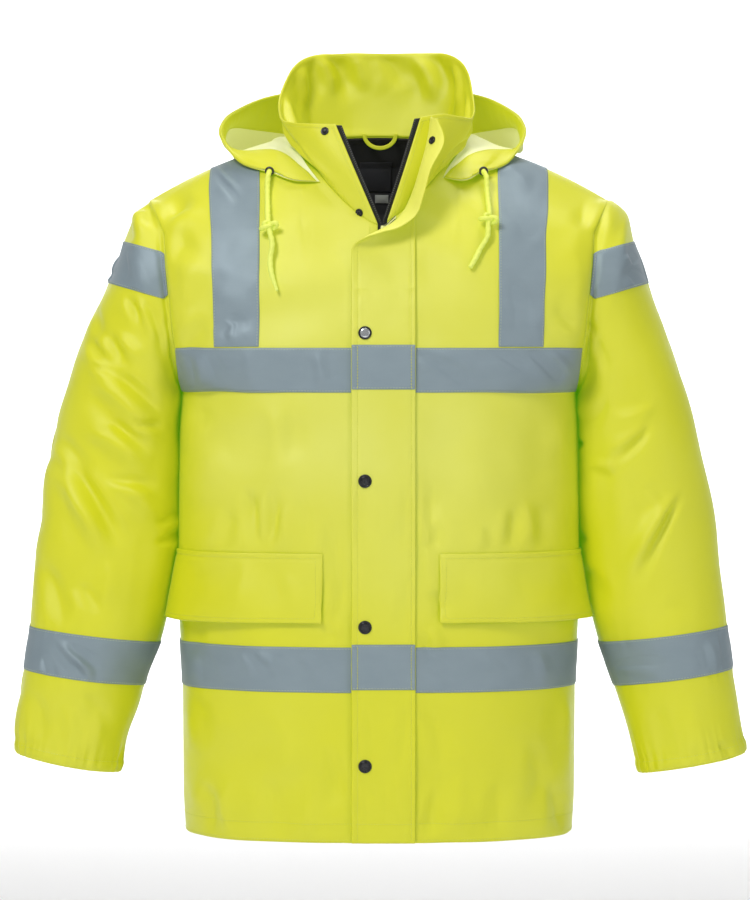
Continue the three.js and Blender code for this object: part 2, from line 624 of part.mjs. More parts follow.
function smooth(points, share) {
  return new THREE.CatmullRomCurve3(points, false, "centripetal").getPoint(share);
}

// A place on the collar's outer face: signed share round the neck, and rows up
function onCollar(signed, row, out) {
  const after = clamp(shares.findIndex((share) => share >= signed), 1, shares.length - 1);
  const column = after - 1 + (signed - shares[after - 1]) / (shares[after] - shares[after - 1]);
  const point = between(collarPatch.points, row, column);
  return point.addScaledVector(between(collarPatch.inward, row, column), -out);
}

// The left side of the hood lies a little nearer to the neck
function hoodPoint(side, [x, y, z], key) {
  const narrower = side > 0 && (key === "far" || key === "rim") ? HOOD_LEFT_SHARE : 1;
  return new THREE.Vector3(side * (NECK_HALF + (x - NECK_HALF) * (x > NECK_HALF ? narrower : 1)), y, z);
}

function hood() {
  const section = (side) => HOOD.map((row) => [onCollar(side * row.neck, HOOD_NECK_ROW, HOOD_NECK_OUT),
    ...["near", "low", "far", "rim"].map((key) => hoodPoint(side, row[key], key))]);
  const column = (index) => {
    const side = index < HOOD_COLUMNS ? -1 : 1;
    const share = Math.abs(index - HOOD_COLUMNS) / HOOD_COLUMNS;
    const sections = section(side);
    const place = share * (HOOD.length - 1);
    const k = Math.min(Math.floor(place), HOOD.length - 2);
    return [0, 1, 2, 3, 4].map((key) => {
      const knots = [-1, 0, 1, 2].map((step) => sections[clamp(k + step, 0, HOOD.length - 1)][key].clone());
      if (k === 0) knots[0].copy(knots[2]).setX(-knots[2].x);
      return catmull(knots, place - k);
    });
  };
  const columns = Array.from({ length: 2 * HOOD_COLUMNS + 1 }, (_, index) => column(index));
  const points = gridOf(HOOD_ROWS, columns.length, (row, index) =>
    smooth(columns[index], row / (HOOD_ROWS - 1)));
  return { points, inward: inwardOf(points, 1, false), wraps: false };
}

// Cubic through the middle two of four knots
function catmull([a, b, c, d], t) {
  const blend = (p, q, r, s) => 0.5 * (2 * q + (r - p) * t + (2 * p - 5 * q + 4 * r - s) * t ** 2 +
    (3 * q - p - 3 * r + s) * t ** 3);
  return new THREE.Vector3(blend(a.x, b.x, c.x, d.x), blend(a.y, b.y, c.y, d.y), blend(a.z, b.z, c.z, d.z));
}

const hoodPatch = hood();
add("hood", wall(hoodPatch, HOOD_WALL), COLOURS.cloth);

const facing = cut(hoodPatch, [HOOD_ROWS - 1 - FACING_ROWS, HOOD_ROWS - 1], [0, 2 * HOOD_COLUMNS]);
add("hood_facing", wall(lifted(facing, -FACING_OUT), THIN), COLOURS.cloth);

// Storm flap

const rowOnCollar = (up) => lookup(COLLAR_ROWS.map((share, row) => ({ share, row })), "share", up, "row");

function flapSeam(up) {
  const share = THREE.MathUtils.lerp(FLAP_SEAM_SHARES.bottom, FLAP_SEAM_SHARES.top, up);
  return onCollar(share, rowOnCollar(up), GAP + FLAP_WALL + 0.6);
}

function onFronts(x, z) {
  return new THREE.Vector3(x, bodyY(x, z, false) - GAP - FLAP_STANDOFF - FLAP_WALL, z);
}

// Curve of one row from the seam over its leaning point to the free edge
function flapRow(seam, row) {
  const curve = new THREE.QuadraticBezierCurve3(seam, seam.clone().add(new THREE.Vector3(...row.lean)),
    seam.clone().add(new THREE.Vector3(...row.edge)));
  return curve.getPoints(FLAP_COLUMNS - 1);
}

function flap() {
  const flat = [...BODY_ROWS, ...FLAP_PLAIN].map((z) => Array.from({ length: FLAP_COLUMNS }, (_, column) =>
    onFronts(THREE.MathUtils.lerp(FLAP_SEAM_X, FLAP_EDGE_X, column / (FLAP_COLUMNS - 1)), z)));
  const opening = FLAP_OPENING.map((row) => flapRow(onFronts(FLAP_SEAM_X, row.z), row));
  const turned = FLAP_ON_COLLAR.map((row) => flapRow(flapSeam(row.up), row));
  const points = [...flat, ...opening, ...turned];
  return { points, inward: inwardOf(points, 1, false), wraps: false };
}
const flapPatch = flap();
add("storm_flap", wall(flapPatch, FLAP_WALL), COLOURS.cloth);
for (const band of bands) {
  const strip = lifted(cut(flapPatch, band.rows, [0, FLAP_COLUMNS - 1]), TAPE_OUT);
  strip.points.forEach((line) => line.forEach((point) => point.setZ(point.z + FLAP_TAPE_RISE)));
  add(`flap_${band.name}`, wall(strip, THIN), COLOURS.tape, 0.4);
}

// Zip: a tape side behind each front and each front edge of the collar

function zipSide(front, column, collarColumn, side) {
  const nextColumn = collarColumn === 0 ? 1 : collarColumn - 1;
  const rows = front.points.map((line, row) => ({
    point: line[column],
    inward: front.inward[row][column],
    towards: new THREE.Vector3(-side, 0, 0),
    setback: CLOTH + ZIP_SETBACK + (row === topRow ? ZIP_COLLAR_SETBACK / 2 : 0),
  }));
  collarPatch.points.slice(ZIP_COLLAR_ROW).forEach((line, row) => rows.push({
    point: line[collarColumn],
    inward: collarPatch.inward[row + ZIP_COLLAR_ROW][collarColumn],
    towards: line[collarColumn].clone().sub(line[nextColumn]).normalize(),
    setback: CLOTH + ZIP_SETBACK + ZIP_COLLAR_SETBACK,
  }));
  const reaches = [-ZIP_BEHIND, ZIP_HALF - GAP];
  const points = rows.map(({ point, inward, towards, setback }) => reaches.map((reach) =>
    point.clone().addScaledVector(inward, setback).addScaledVector(towards, reach)));
  if (side > 0) points.forEach((line) => line.reverse());
  points[0].forEach((point) => point.setZ(point.z + 2));
  return { points, inward: rows.map(({ inward }) => reaches.map(() => inward)), wraps: false };
}
const lastCollarColumn = aroundNeck.length - 1;
add("right_zip_tape", wall(zipSide(right, lastColumn(right), 0, -1), THIN), COLOURS.black, 0.7);
add("left_zip_tape", wall(zipSide(left, 0, lastCollarColumn, 1), THIN), COLOURS.black, 0.7);

// Slider with its bridge, and the pull tab that turns about the bridge's bar

function boxBetween(low, high) {
  const size = new THREE.Vector3().subVectors(high, low);
  const box = new THREE.BoxGeometry(size.x, size.y, size.z);
  return box.translate((low.x + high.x) / 2, (low.y + high.y) / 2, (low.z + high.z) / 2);
}

const at = (x, y, z) => new THREE.Vector3(x, y, z);

function upright(radius, from, to, hole = 0) {
  const outline = new THREE.Shape().absarc(0, 0, radius, 0, 2 * Math.PI);
  if (hole) outline.holes.push(new THREE.Path().absarc(0, 0, hole, 0, 2 * Math.PI, true));
  const options = { depth: to - from, bevelEnabled: false, curveSegments: 6 };
  return new THREE.ExtrudeGeometry(outline, options).translate(0, 0, from);
}

function slider() {
  const { half, front, back, bottom, top } = SLIDER;
  const body = toSolid(boxBetween(at(-half, front, bottom), at(half, back, top)));
  const feet = [SLIDER.barBottom, SLIDER.barTop - SLIDER.foot].map((z) =>
    toSolid(boxBetween(at(-SLIDER.bar, SLIDER.barY, z), at(SLIDER.bar, back, z + SLIDER.foot))));
  const bar = toSolid(upright(SLIDER.bar, SLIDER.barBottom, SLIDER.barTop).translate(0, SLIDER.barY, 0));
  return toGeometry(feet.reduce((sum, foot) => sum.add(foot), body.add(bar)));
}

function pullTab() {
  const { eye, hole, bottom, top, thick, reach, rise, width } = PULL_TAB;
  const ring = toSolid(upright(eye, bottom, top, hole).translate(0, SLIDER.barY, 0));
  const corners = [[hole + GAP, bottom], [reach, bottom + rise], [reach, bottom + rise + width],
    [hole + GAP, top]];
  const outline = new THREE.Shape(corners.map(([x, z]) => new THREE.Vector2(x, z)));
  const arm = new THREE.ExtrudeGeometry(outline, { depth: thick, bevelEnabled: false });
  arm.rotateX(Math.PI / 2).translate(0, SLIDER.barY + thick / 2, 0);
  return toGeometry(ring.add(toSolid(arm)));
}

const sliderFrame = new THREE.Group();
sliderFrame.position.set(ZIP_X, bodyY(ZIP_X, SLIDER.z, false), SLIDER.z);
sliderFrame.rotation.x = -SLIDER.lean;
jacket.add(sliderFrame);
sliderFrame.add(add("zip_slider", slider(), COLOURS.metal, 0.4, 0.8));
sliderFrame.add(add("zip_pull_tab", pullTab(), COLOURS.pale, 0.5));

// Round parts, turned about the direction out of what carries them

function turned(profile, segments = 12) {
  const outline = profile.map(([r, h]) => new THREE.Vector2(r, h));
  return new THREE.LatheGeometry(outline, segments).rotateX(Math.PI / 2);
}

function seat(mesh, point, outward, off) {
  mesh.position.copy(point).addScaledVector(outward, off);
  mesh.quaternion.setFromUnitVectors(at(0, 0, 1), outward.clone().normalize());
}

function place(name, geometry, point, outward, off, colour, metalness = 0.6) {
  seat(add(name, geometry, colour, 0.35, metalness), point, outward, off);
}

const capShape = () => turned([[0, 0], [CAP.radius, 0], [CAP.radius, CAP.height * 0.45],
  [CAP.radius * 0.8, CAP.height], [0, CAP.height]]);
const studShape = () => turned([[0, 0], [STUD.radius, 0], [STUD.radius, STUD.height * 0.4],
  [STUD.radius * 0.5, STUD.height * 0.5], [STUD.radius * 0.4, STUD.height], [0, STUD.height]]);
const eyeletShape = () => turned([[EYELET.hole, 0], [EYELET.radius, 0],
  [EYELET.radius, EYELET.height * 0.6], [EYELET.hole, EYELET.height], [EYELET.hole, 0]]);

const front = at(0, -1, 0);
FLAP_CAP_Z.forEach((z, k) => {
  place(`flap_stud_${k + 1}`, capShape(), onFronts(FLAP_CAP_X, z), front, SEAT + GAP, COLOURS.black);
});

// Point and outward direction of a patch between its grid points
function spot(patch, row, column) {
  const outward = between(patch.inward, row, column).negate();
  return { point: between(patch.points, row, column), outward };
}

COLLAR_STUDS.forEach(({ signed, up }, k) => {
  const point = onCollar(signed, rowOnCollar(up), 0);
  const out = onCollar(signed, rowOnCollar(up), 1).sub(point);
  place(`collar_stud_${k + 1}`, studShape(), point, out, SEAT, COLOURS.black);
});

const socketSpot = spot(flapPatch, flapPatch.points.length - 1 - FLAP_SOCKET.down, FLAP_SOCKET.across);
const flapInner = socketSpot.outward.negate();
place("flap_socket", studShape(), socketSpot.point, flapInner, FLAP_WALL + SEAT + GAP, COLOURS.black);

// Drawcords through the eyelets of the hood, each with a knot

for (const [name, side] of [["right", -1], ["left", 1]]) {
  const column = side < 0 ? EYELET.column : 2 * HOOD_COLUMNS - EYELET.column;
  const seatSpot = spot(hoodPatch, HOOD_ROWS - 1 - EYELET.row, column);
  const outward = seatSpot.outward.negate();
  const carrier = seatSpot.point;
  place(`${name}_eyelet`, eyeletShape(), carrier, outward, EYELET.off, COLOURS.metal, 0.8);
  const route = [carrier.clone().addScaledVector(outward, EYELET.off + EYELET.height + 5 * GAP),
    carrier.clone().addScaledVector(outward, EYELET.off + CORD_LIFT).add(at(0, -4, 0)),
    ...CORD_ROUTES[name].map(([x, z, off]) => at(x, bodyY(x, z, false) - off, z))];
  const curve = new THREE.CatmullRomCurve3(route, false, "centripetal");
  const round = new THREE.Shape().absarc(0, 0, CORD_RADIUS, 0, 2 * Math.PI);
  const cord = new THREE.ExtrudeGeometry(round, { steps: 18, extrudePath: curve, curveSegments: 4 });
  add(`${name}_drawcord`, cord, COLOURS.cloth);
  const knot = turned([[CORD_RADIUS + SEAT, -KNOT.half * 0.6], [KNOT.radius * 0.8, -KNOT.half * 0.8],
    [KNOT.radius, 0], [KNOT.radius * 0.8, KNOT.half * 0.8], [CORD_RADIUS + SEAT, KNOT.half * 0.6],
    [CORD_RADIUS + SEAT, -KNOT.half * 0.6]]);
  const mesh = add(`${name}_cord_knot`, knot, COLOURS.cloth);
  seat(mesh, curve.getPoint(KNOT.share), curve.getTangent(KNOT.share), 0);
}

// Inside the neck: lining, labels and hanger loop

const liningRows = [rowAt(CHEST_TAPE_TOP), topRow];
const middle = (backShares.length - 1) / 2;
const neckColumns = backShares.filter((share) => share > 0 && share * CHEST_HALF < NECK_HALF + 1).length;
const liningColumns = [middle - neckColumns - 1, middle + neckColumns + 1];
const lining = lifted(cut(back, liningRows, liningColumns), -CLOTH - GAP);
add("neck_lining", wall(lining, THIN), COLOURS.black, 0.9);

// A label on the lining, made from the lining's points between two widths and two heights
function label(name, { left: low, right: high, bottom, top }, colour) {
  const centre = lining.points.map((line) => line[(line.length - 1) / 2].z);
  const heights = centre.map((z, row) => ({ z, row }));
  const widths = lining.points[centre.length - 1].map(({ x }, column) => ({ x, column }));
  const steps = 3;
  const sample = (grid, row, column) => between(grid,
    lookup(heights, "z", THREE.MathUtils.lerp(bottom, top, row / steps), "row"),
    lookup(widths, "x", THREE.MathUtils.lerp(low, high, column / steps), "column"));
  const patch = {
    points: gridOf(steps + 1, steps + 1, (row, column) => sample(lining.points, row, column)),
    inward: gridOf(steps + 1, steps + 1, (row, column) => sample(lining.inward, row, column)),
    wraps: false,
  };
  add(name, wall(lifted(patch, -LABEL_SET), LABEL_WALL), colour, 0.8);
}
label("neck_label", NECK_LABEL, COLOURS.label);
label("size_label", SIZE_LABEL, COLOURS.grey);

// Hanger loop: a band in half an oval below the collar seam
function hangerLoop() {
  const { x, z, y, half, drop, width, steps } = HANGER_LOOP;
  const points = gridOf(steps + 1, 2, (row, column) => {
    const turn = (Math.PI * row) / steps;
    const edge = (column ? -1 : 1) * width / 2;
    return at(x - (half + edge) * Math.cos(turn), y, z - (drop + edge) * Math.sin(turn));
  });
  return { points, inward: points.map((line) => line.map(() => at(0, -1, 0))), wraps: false };
}
add("hanger_loop", wall(hangerLoop(), THIN), COLOURS.cloth);

export default jacket;
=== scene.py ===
"""Looks of the hi-vis work jacket: cloth shells on the solids' form, creases, stitches and materials.

Lengths are in millimetres until mesh_of turns them into metres. +X is the wearer's left, -Y the front.
"""

import bpy
import numpy as np
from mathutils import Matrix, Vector


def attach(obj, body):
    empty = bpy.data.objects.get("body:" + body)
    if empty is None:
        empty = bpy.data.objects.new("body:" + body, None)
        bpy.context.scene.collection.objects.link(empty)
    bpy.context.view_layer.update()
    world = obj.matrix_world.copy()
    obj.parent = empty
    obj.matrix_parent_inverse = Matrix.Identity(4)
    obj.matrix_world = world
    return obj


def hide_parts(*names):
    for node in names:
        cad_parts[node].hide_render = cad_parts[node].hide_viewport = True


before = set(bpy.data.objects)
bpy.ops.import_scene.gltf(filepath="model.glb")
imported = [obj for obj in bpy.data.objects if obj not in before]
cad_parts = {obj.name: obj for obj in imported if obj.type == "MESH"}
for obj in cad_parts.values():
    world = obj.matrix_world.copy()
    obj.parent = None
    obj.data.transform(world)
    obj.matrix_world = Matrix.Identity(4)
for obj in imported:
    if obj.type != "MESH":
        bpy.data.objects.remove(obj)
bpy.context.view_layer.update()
BODY_NAME = "jacket"
TAB_NAME = "pull_tab"


# Camera, as the photo was taken

def look(place, target):
    """Rotation of a camera or lamp at a place that looks at a target, both in metres."""
    return (Vector(target) - Vector(place)).to_track_quat("-Z", "Y").to_euler()


lens = bpy.data.cameras.new("photo_camera")
lens.sensor_fit = "VERTICAL"
lens.sensor_height = 36
lens.lens = 162.2
lens.clip_end = 60
camera = bpy.data.objects.new("photo_camera", lens)
camera.location = (-0.0044, -4.665, -0.251)
camera.rotation_euler = look(camera.location, (-0.0044, -0.165, -0.362))
bpy.context.scene.collection.objects.link(camera)
bpy.context.scene.camera = camera


# Materials

class Socket:
    """A socket of a paint's node tree; arithmetic on it adds Math nodes."""

    def __init__(self, paint, link):
        self.paint, self.link = paint, link

    def __add__(self, other):
        return self.paint.math("ADD", self, other)

    def __sub__(self, other):
        return self.paint.math("SUBTRACT", self, other)

    def __rsub__(self, other):
        return self.paint.math("SUBTRACT", other, self)

    def __mul__(self, other):
        return self.paint.math("MULTIPLY", self, other)

    def __pow__(self, other):
        return self.paint.math("POWER", self, other)

    __radd__ = __add__
    __rmul__ = __mul__


class Paint:
    """One material: a Principled shader and the nodes that feed it."""

    def __init__(self, name, **plain):
        self.material = bpy.data.materials.new(name)
        self.material.use_nodes = True
        self.tree = self.material.node_tree
        self.tree.nodes.clear()
        self.shader = self.tree.nodes.new("ShaderNodeBsdfPrincipled")
        output = self.tree.nodes.new("ShaderNodeOutputMaterial")
        self.tree.links.new(self.shader.outputs[0], output.inputs[0])
        for key, value in plain.items():
            self.shader.inputs[key.replace("_", " ").title().replace("Ior", "IOR")].default_value = value

    def node(self, kind, settings, inputs, output=0):
        """A node of a kind with its settings made first, then its inputs, as values or sockets."""
        made = self.tree.nodes.new(kind)
        for key, value in settings.items():
            if key == "stops":
                for stop, (place, colour) in zip(made.color_ramp.elements, value):
                    stop.position, stop.color = place, (*colour, 1)
            else:
                setattr(made, key, value)
        for key, value in inputs.items():
            if isinstance(value, Socket):
                self.tree.links.new(value.link, made.inputs[key])
            else:
                made.inputs[key].default_value = value
        return Socket(self, made.outputs[output])

    def math(self, operation, first, second=0.0):
        return self.node("ShaderNodeMath", {"operation": operation}, {0: first, 1: second})

    def mix(self, share, first, second):
        """Colour between two colours, by a share."""
        colours = {6: first if isinstance(first, Socket) else (*first, 1),
                   7: second if isinstance(second, Socket) else (*second, 1)}
        return self.node("ShaderNodeMix", {"data_type": "RGBA"}, {0: share, **colours}, output=2)

    def place(self):
        return self.node("ShaderNodeTexCoord", {}, {}, output=3)

    def noise(self, scale, detail=2.0, stretch=(1, 1, 1)):
        """Cloudy noise between 0 and 1, stretched along the axes."""
        spot = self.node("ShaderNodeMapping", {}, {0: self.place(), 3: stretch})
        return self.node("ShaderNodeTexNoise", {}, {"Vector": spot, "Scale": scale, "Detail": detail})

    def threads(self, pitch, axis):
        """Ribs between 0 and 1 across one axis, a pitch in metres apart."""
        settings = {"wave_type": "BANDS", "bands_direction": axis, "wave_profile": "SIN"}
        return self.node("ShaderNodeTexWave", settings,
                         {"Vector": self.place(), "Scale": 0.314 / pitch, "Distortion": 0.4,
                          "Detail": 1.0, "Detail Scale": 2.0}, output=1)

    def feed(self, name, socket):
        self.tree.links.new(socket.link, self.shader.inputs[name])

    def bump(self, height, depth, strength=1.0):
        """Feeds a height between 0 and 1, worth a depth in metres, to the shader's Normal."""
        self.feed("Normal", self.node("ShaderNodeBump", {}, {"Strength": strength, "Distance": depth,
                                                             "Height": height}))


def cloth_paint(name, lit, glow, roughness=0.5, deeper=0.9, weave=0.00052):
    """Coated woven cloth: a fine weave, a faint cloud of colour, pale patches at random, a painted sheen round the
    chest, and a little light of its own.
    """
    paint = Paint(name, specular_ior_level=0.6, sheen_weight=0.03, sheen_roughness=0.4)
    paint.shader.inputs["Emission Strength"].default_value = 1.0
    weave_height = paint.threads(weave, "X") * 0.5 + paint.threads(weave, "Z") * 0.5
    cloud = paint.noise(9, 3)
    dark = tuple(deeper * part for part in lit)
    pale = tuple(min(part * 1.05 + extra, 0.88) for part, extra in zip(lit, (0.05, 0.08, 0.26)))
    patches = paint.node("ShaderNodeMapRange", {}, {"Value": paint.noise(4.2, 3), "From Min": 0.45, "From Max": 0.7,
                                                    "To Min": 0.0, "To Max": 0.16})
    # Painted sheen: the colour turns pale near a spot on the chest, where the light's broad highlight falls; the noise
    # patches are random tone.
    reach = paint.node("ShaderNodeVectorMath", {"operation": "DISTANCE"}, {0: paint.place(), 1: (0, -0.15, -0.3)}, output=1)
    chest = paint.node("ShaderNodeMapRange", {}, {"Value": reach, "From Min": 0.08, "From Max": 0.3,
                                                  "To Min": 0.7, "To Max": 0.0})
    patches_and_painted_sheen = paint.mix(patches + chest, lit, pale)
    paint.feed("Base Color", paint.mix(weave_height * 0.35 + cloud * 0.6, dark, patches_and_painted_sheen))
    paint.feed("Emission Color", paint.mix(cloud, tuple(0.85 * part for part in glow), glow))
    paint.feed("Roughness", paint.noise(60, 2) * 0.16 + (roughness - 0.08))
    paint.bump(weave_height + paint.noise(420, 2) * 0.6, 0.00007)
    return paint.material


def tape_paint(name):
    """Reflective tape: a grey-blue beaded face, duller where it is rubbed."""
    paint = Paint(name, specular_ior_level=0.4)
    rubbed = paint.noise(26, 4, (1, 1, 2))
    beads = paint.noise(2600, 1)
    paint.feed("Base Color", paint.mix(rubbed * 0.8 + beads * 0.2, (0.215, 0.28, 0.315), (0.29, 0.36, 0.40)))
    paint.feed("Metallic", rubbed * 0.15 + 0.1)
    paint.feed("Roughness", rubbed * 0.16 + 0.44)
    paint.bump(beads + paint.threads(0.0016, "X") * 0.3 + paint.threads(0.0016, "Z") * 0.3, 0.00006)
    return paint.material


def plain_paint(name, dark, light, roughness, metallic=0.0, grain=300, depth=0.00005):
    """Small trim: two near colours in a fine grain, with roughness that follows it."""
    paint = Paint(name, metallic=metallic)
    speck = paint.noise(grain, 3)
    paint.feed("Base Color", paint.mix(speck, dark, light))
    paint.feed("Roughness", speck * 0.2 + (roughness - 0.1))
    paint.bump(speck, depth)
    return paint.material


def woven_paint(name, dark, light, pitch, roughness=0.85):
    """Dull woven cloth: lining, zip tape and labels, with ribs both ways."""
    paint = Paint(name, sheen_weight=0.2)
    ribs = paint.threads(pitch, "X") * 0.5 + paint.threads(pitch, "Z") * 0.5
    paint.feed("Base Color", paint.mix(ribs * 0.6 + paint.noise(30, 3) * 0.4, dark, light))
    paint.feed("Roughness", ribs * 0.1 + (roughness - 0.05))
    paint.bump(ribs, 0.00012)
    return paint.material


YELLOW = cloth_paint("yellow_cloth", (0.75, 0.675, 0.012), (0.015, 0.09, 0.001), roughness=0.4)
YELLOW_INSIDE = cloth_paint("yellow_reverse", (0.84, 0.80, 0.09), (0.09, 0.12, 0.015), roughness=0.5)
PALE = cloth_paint("pale_coating", (0.84, 0.86, 0.50), (0.14, 0.14, 0.06), roughness=0.45, weave=0.0009)
LINING = woven_paint("black_lining", (0.008, 0.008, 0.009), (0.03, 0.03, 0.034), 0.0012)
TAPE = tape_paint("reflective_tape")
ZIP_CLOTH = woven_paint("zip_tape", (0.006, 0.006, 0.007), (0.03, 0.03, 0.03), 0.0009)
LABEL = woven_paint("dark_label", (0.012, 0.012, 0.016), (0.035, 0.035, 0.045), 0.0006, 0.7)
SIZE_LABEL = woven_paint("grey_label", (0.30, 0.31, 0.28), (0.42, 0.43, 0.40), 0.0006, 0.7)
THREAD = plain_paint("yellow_thread", (0.62, 0.66, 0.06), (0.80, 0.82, 0.12), 0.6, grain=900)
GREY_THREAD = plain_paint("grey_thread", (0.34, 0.40, 0.36), (0.52, 0.60, 0.40), 0.6, grain=900)
BLACK_METAL = plain_paint("black_lacquer", (0.012, 0.012, 0.014), (0.03, 0.03, 0.032), 0.28, 0.4)
BRIGHT_METAL = plain_paint("polished_cap", (0.55, 0.57, 0.60), (0.72, 0.74, 0.76), 0.22, 0.95)
DARK_METAL = plain_paint("eyelet_metal", (0.03, 0.032, 0.035), (0.09, 0.095, 0.10), 0.35, 0.8)
TOOTH = plain_paint("zip_teeth", (0.06, 0.06, 0.063), (0.16, 0.16, 0.165), 0.4)
PULL = plain_paint("pull_plastic", (0.78, 0.80, 0.28), (0.86, 0.88, 0.42), 0.45)
TAB_LINE_BLACK = plain_paint("black_line", (0.01, 0.01, 0.01), (0.03, 0.03, 0.03), 0.5)


# Making meshes

def unit(vectors):
    """Vectors divided by their own lengths."""
    return vectors / np.maximum(np.linalg.norm(vectors, axis=-1, keepdims=True), 1e-9)


def normals_of(grid, wraps=False, sign=1):
    """Unit normals of a grid: the cross product of its run along the columns with its run up the rows."""
    up = np.gradient(grid, axis=0)
    if wraps:
        along = np.roll(grid, -1, axis=1) - np.roll(grid, 1, axis=1)
    else:
        along = np.gradient(grid, axis=1)
    return unit(np.cross(along, up)) * sign


def mesh_of(name, vertices, quads, paints, slots=None, triangles=np.zeros((0, 3))):
    """An object from vertices in millimetres, faces of four corners and, after them, faces of three."""
    mesh = bpy.data.meshes.new(name)
    corners = np.concatenate([np.ravel(quads), np.ravel(triangles)]).astype(np.int32)
    starts = np.concatenate([np.arange(len(quads)) * 4, len(quads) * 4 + np.arange(len(triangles)) * 3])
    mesh.vertices.add(len(vertices))
    mesh.vertices.foreach_set("co", (np.asarray(vertices) * 0.001).astype(np.float32).ravel())
    mesh.loops.add(len(corners))
    mesh.loops.foreach_set("vertex_index", corners)
    mesh.polygons.add(len(starts))
    mesh.polygons.foreach_set("loop_start", starts.astype(np.int32))
    mesh.polygons.foreach_set("use_smooth", np.ones(len(starts), dtype=bool))
    if slots is not None:
        mesh.polygons.foreach_set("material_index", np.asarray(slots, dtype=np.int32))
    mesh.update(calc_edges=True)
    mesh.validate()
    for paint in paints:
        mesh.materials.append(paint)
    piece = bpy.data.objects.new(name, mesh)
    bpy.context.scene.collection.objects.link(piece)
    return piece


def quads_of(rows, columns, wraps=False, start=0):
    """Faces of a grid of vertices that starts at an index."""
    across = columns if wraps else columns - 1
    row, column = np.meshgrid(np.arange(rows - 1), np.arange(across), indexing="ij")
    low = start + row * columns
    high = low + columns
    after = (column + 1) % columns
    return np.stack([low + column, low + after, high + after, high + column], axis=-1).reshape(-1, 4)


def strip(first, second, closed):
    """Faces between two equal runs of vertex indices."""
    if closed:
        first, second = np.append(first, first[0]), np.append(second, second[0])
    return np.stack([first[:-1], first[1:], second[1:], second[:-1]], axis=-1)


def shell(name, grid, normals, thickness, paints, wraps=False):
    """Closed cloth: the grid, the same moved in by the thickness, and half-round edges between them.

    Each edge point stands out from the middle of the thickness by half of it, away from the cloth.
    """
    rows, columns = grid.shape[:2]
    count = rows * columns
    inner = grid - normals * thickness
    faces = [quads_of(rows, columns, wraps), quads_of(rows, columns, wraps, count)[:, ::-1]]
    index = np.arange(count).reshape(rows, columns)
    away = np.zeros_like(grid)
    away[0] += unit(grid[0] - grid[1])
    away[-1] += unit(grid[-1] - grid[-2])
    if not wraps:
        away[:, 0] += unit(grid[:, 0] - grid[:, 1])
        away[:, -1] += unit(grid[:, -1] - grid[:, -2])
    middle = (grid + inner) / 2 + unit(away) * thickness * 0.5
    if wraps:
        loops = [index[0], index[-1][::-1]]
    else:
        loops = [np.concatenate([index[0, :-1], index[:-1, -1], index[-1, :0:-1], index[:0:-1, 0]])]
    edges, rims, made = [], [], 2 * count
    for loop in loops:
        edges.append(middle.reshape(-1, 3)[loop])
        ring = made + np.arange(len(loop))
        made += len(loop)
        rims += [strip(ring, loop, True), strip(loop + count, ring, True)]
    vertices = np.concatenate([grid.reshape(-1, 3), inner.reshape(-1, 3), *edges])
    slots = np.concatenate([np.full(len(faces[0]), 0), np.full(len(faces[1]), len(paints) - 1),
                            np.zeros(sum(len(rim) for rim in rims), dtype=int)])
    every = np.concatenate(faces + rims)
    a, b, c = (vertices[every[:, k]] for k in range(3))
    d = vertices[every[:, 3]]
    volume = np.sum(np.cross(a, b) * c + np.cross(a, c) * d)
    if volume < 0:
        every = every[:, ::-1]
    return mesh_of(name, vertices, every, paints, slots)


def sample(grid, rows, columns, wraps=False):
    """Points of a grid at fractional rows and columns, straight between its own points."""
    rows, columns = np.broadcast_arrays(np.asarray(rows, float), np.asarray(columns, float))
    count = grid.shape[1]
    low_row = np.clip(np.floor(rows).astype(int), 0, grid.shape[0] - 2)
    if wraps:
        low_column = np.floor(columns).astype(int) % count
        next_column = (low_column + 1) % count
        over = (columns - np.floor(columns))[..., None]
    else:
        low_column = np.clip(np.floor(columns).astype(int), 0, count - 2)
        next_column = low_column + 1
        over = (columns - low_column)[..., None]
    up = (rows - low_row)[..., None]
    lower = grid[low_row, low_column] * (1 - over) + grid[low_row, next_column] * over
    upper = grid[low_row + 1, low_column] * (1 - over) + grid[low_row + 1, next_column] * over
    return lower * (1 - up) + upper * up


def cubic(points, places):
    """Points at fractional places along the first axis, on cubics through their neighbours."""
    places = np.asarray(places, float)
    last = len(points) - 1
    low = np.clip(np.floor(places).astype(int), 0, last - 1)
    t = (places - low).reshape(-1, *([1] * (points.ndim - 1)))
    a, b, c, d = (points[np.clip(low + step, 0, last)] for step in (-1, 0, 1, 2))
    return 0.5 * (2 * b + (c - a) * t + (2 * a - 5 * b + 4 * c - d) * t ** 2
                  + (3 * b - a - 3 * c + d) * t ** 3)


def fine(grid, rows, columns):
    """A grid made finer both ways, on cubics through its points."""
    down = cubic(grid, np.linspace(0, grid.shape[0] - 1, rows))
    return np.swapaxes(cubic(np.swapaxes(down, 0, 1), np.linspace(0, grid.shape[1] - 1, columns)), 0, 1)


# Creases, placed one by one

def ease(value, low, high):
    """Smooth step from 0 at low to 1 at high."""
    t = np.clip((value - low) / (high - low), 0, 1)
    return t * t * (3 - 2 * t)


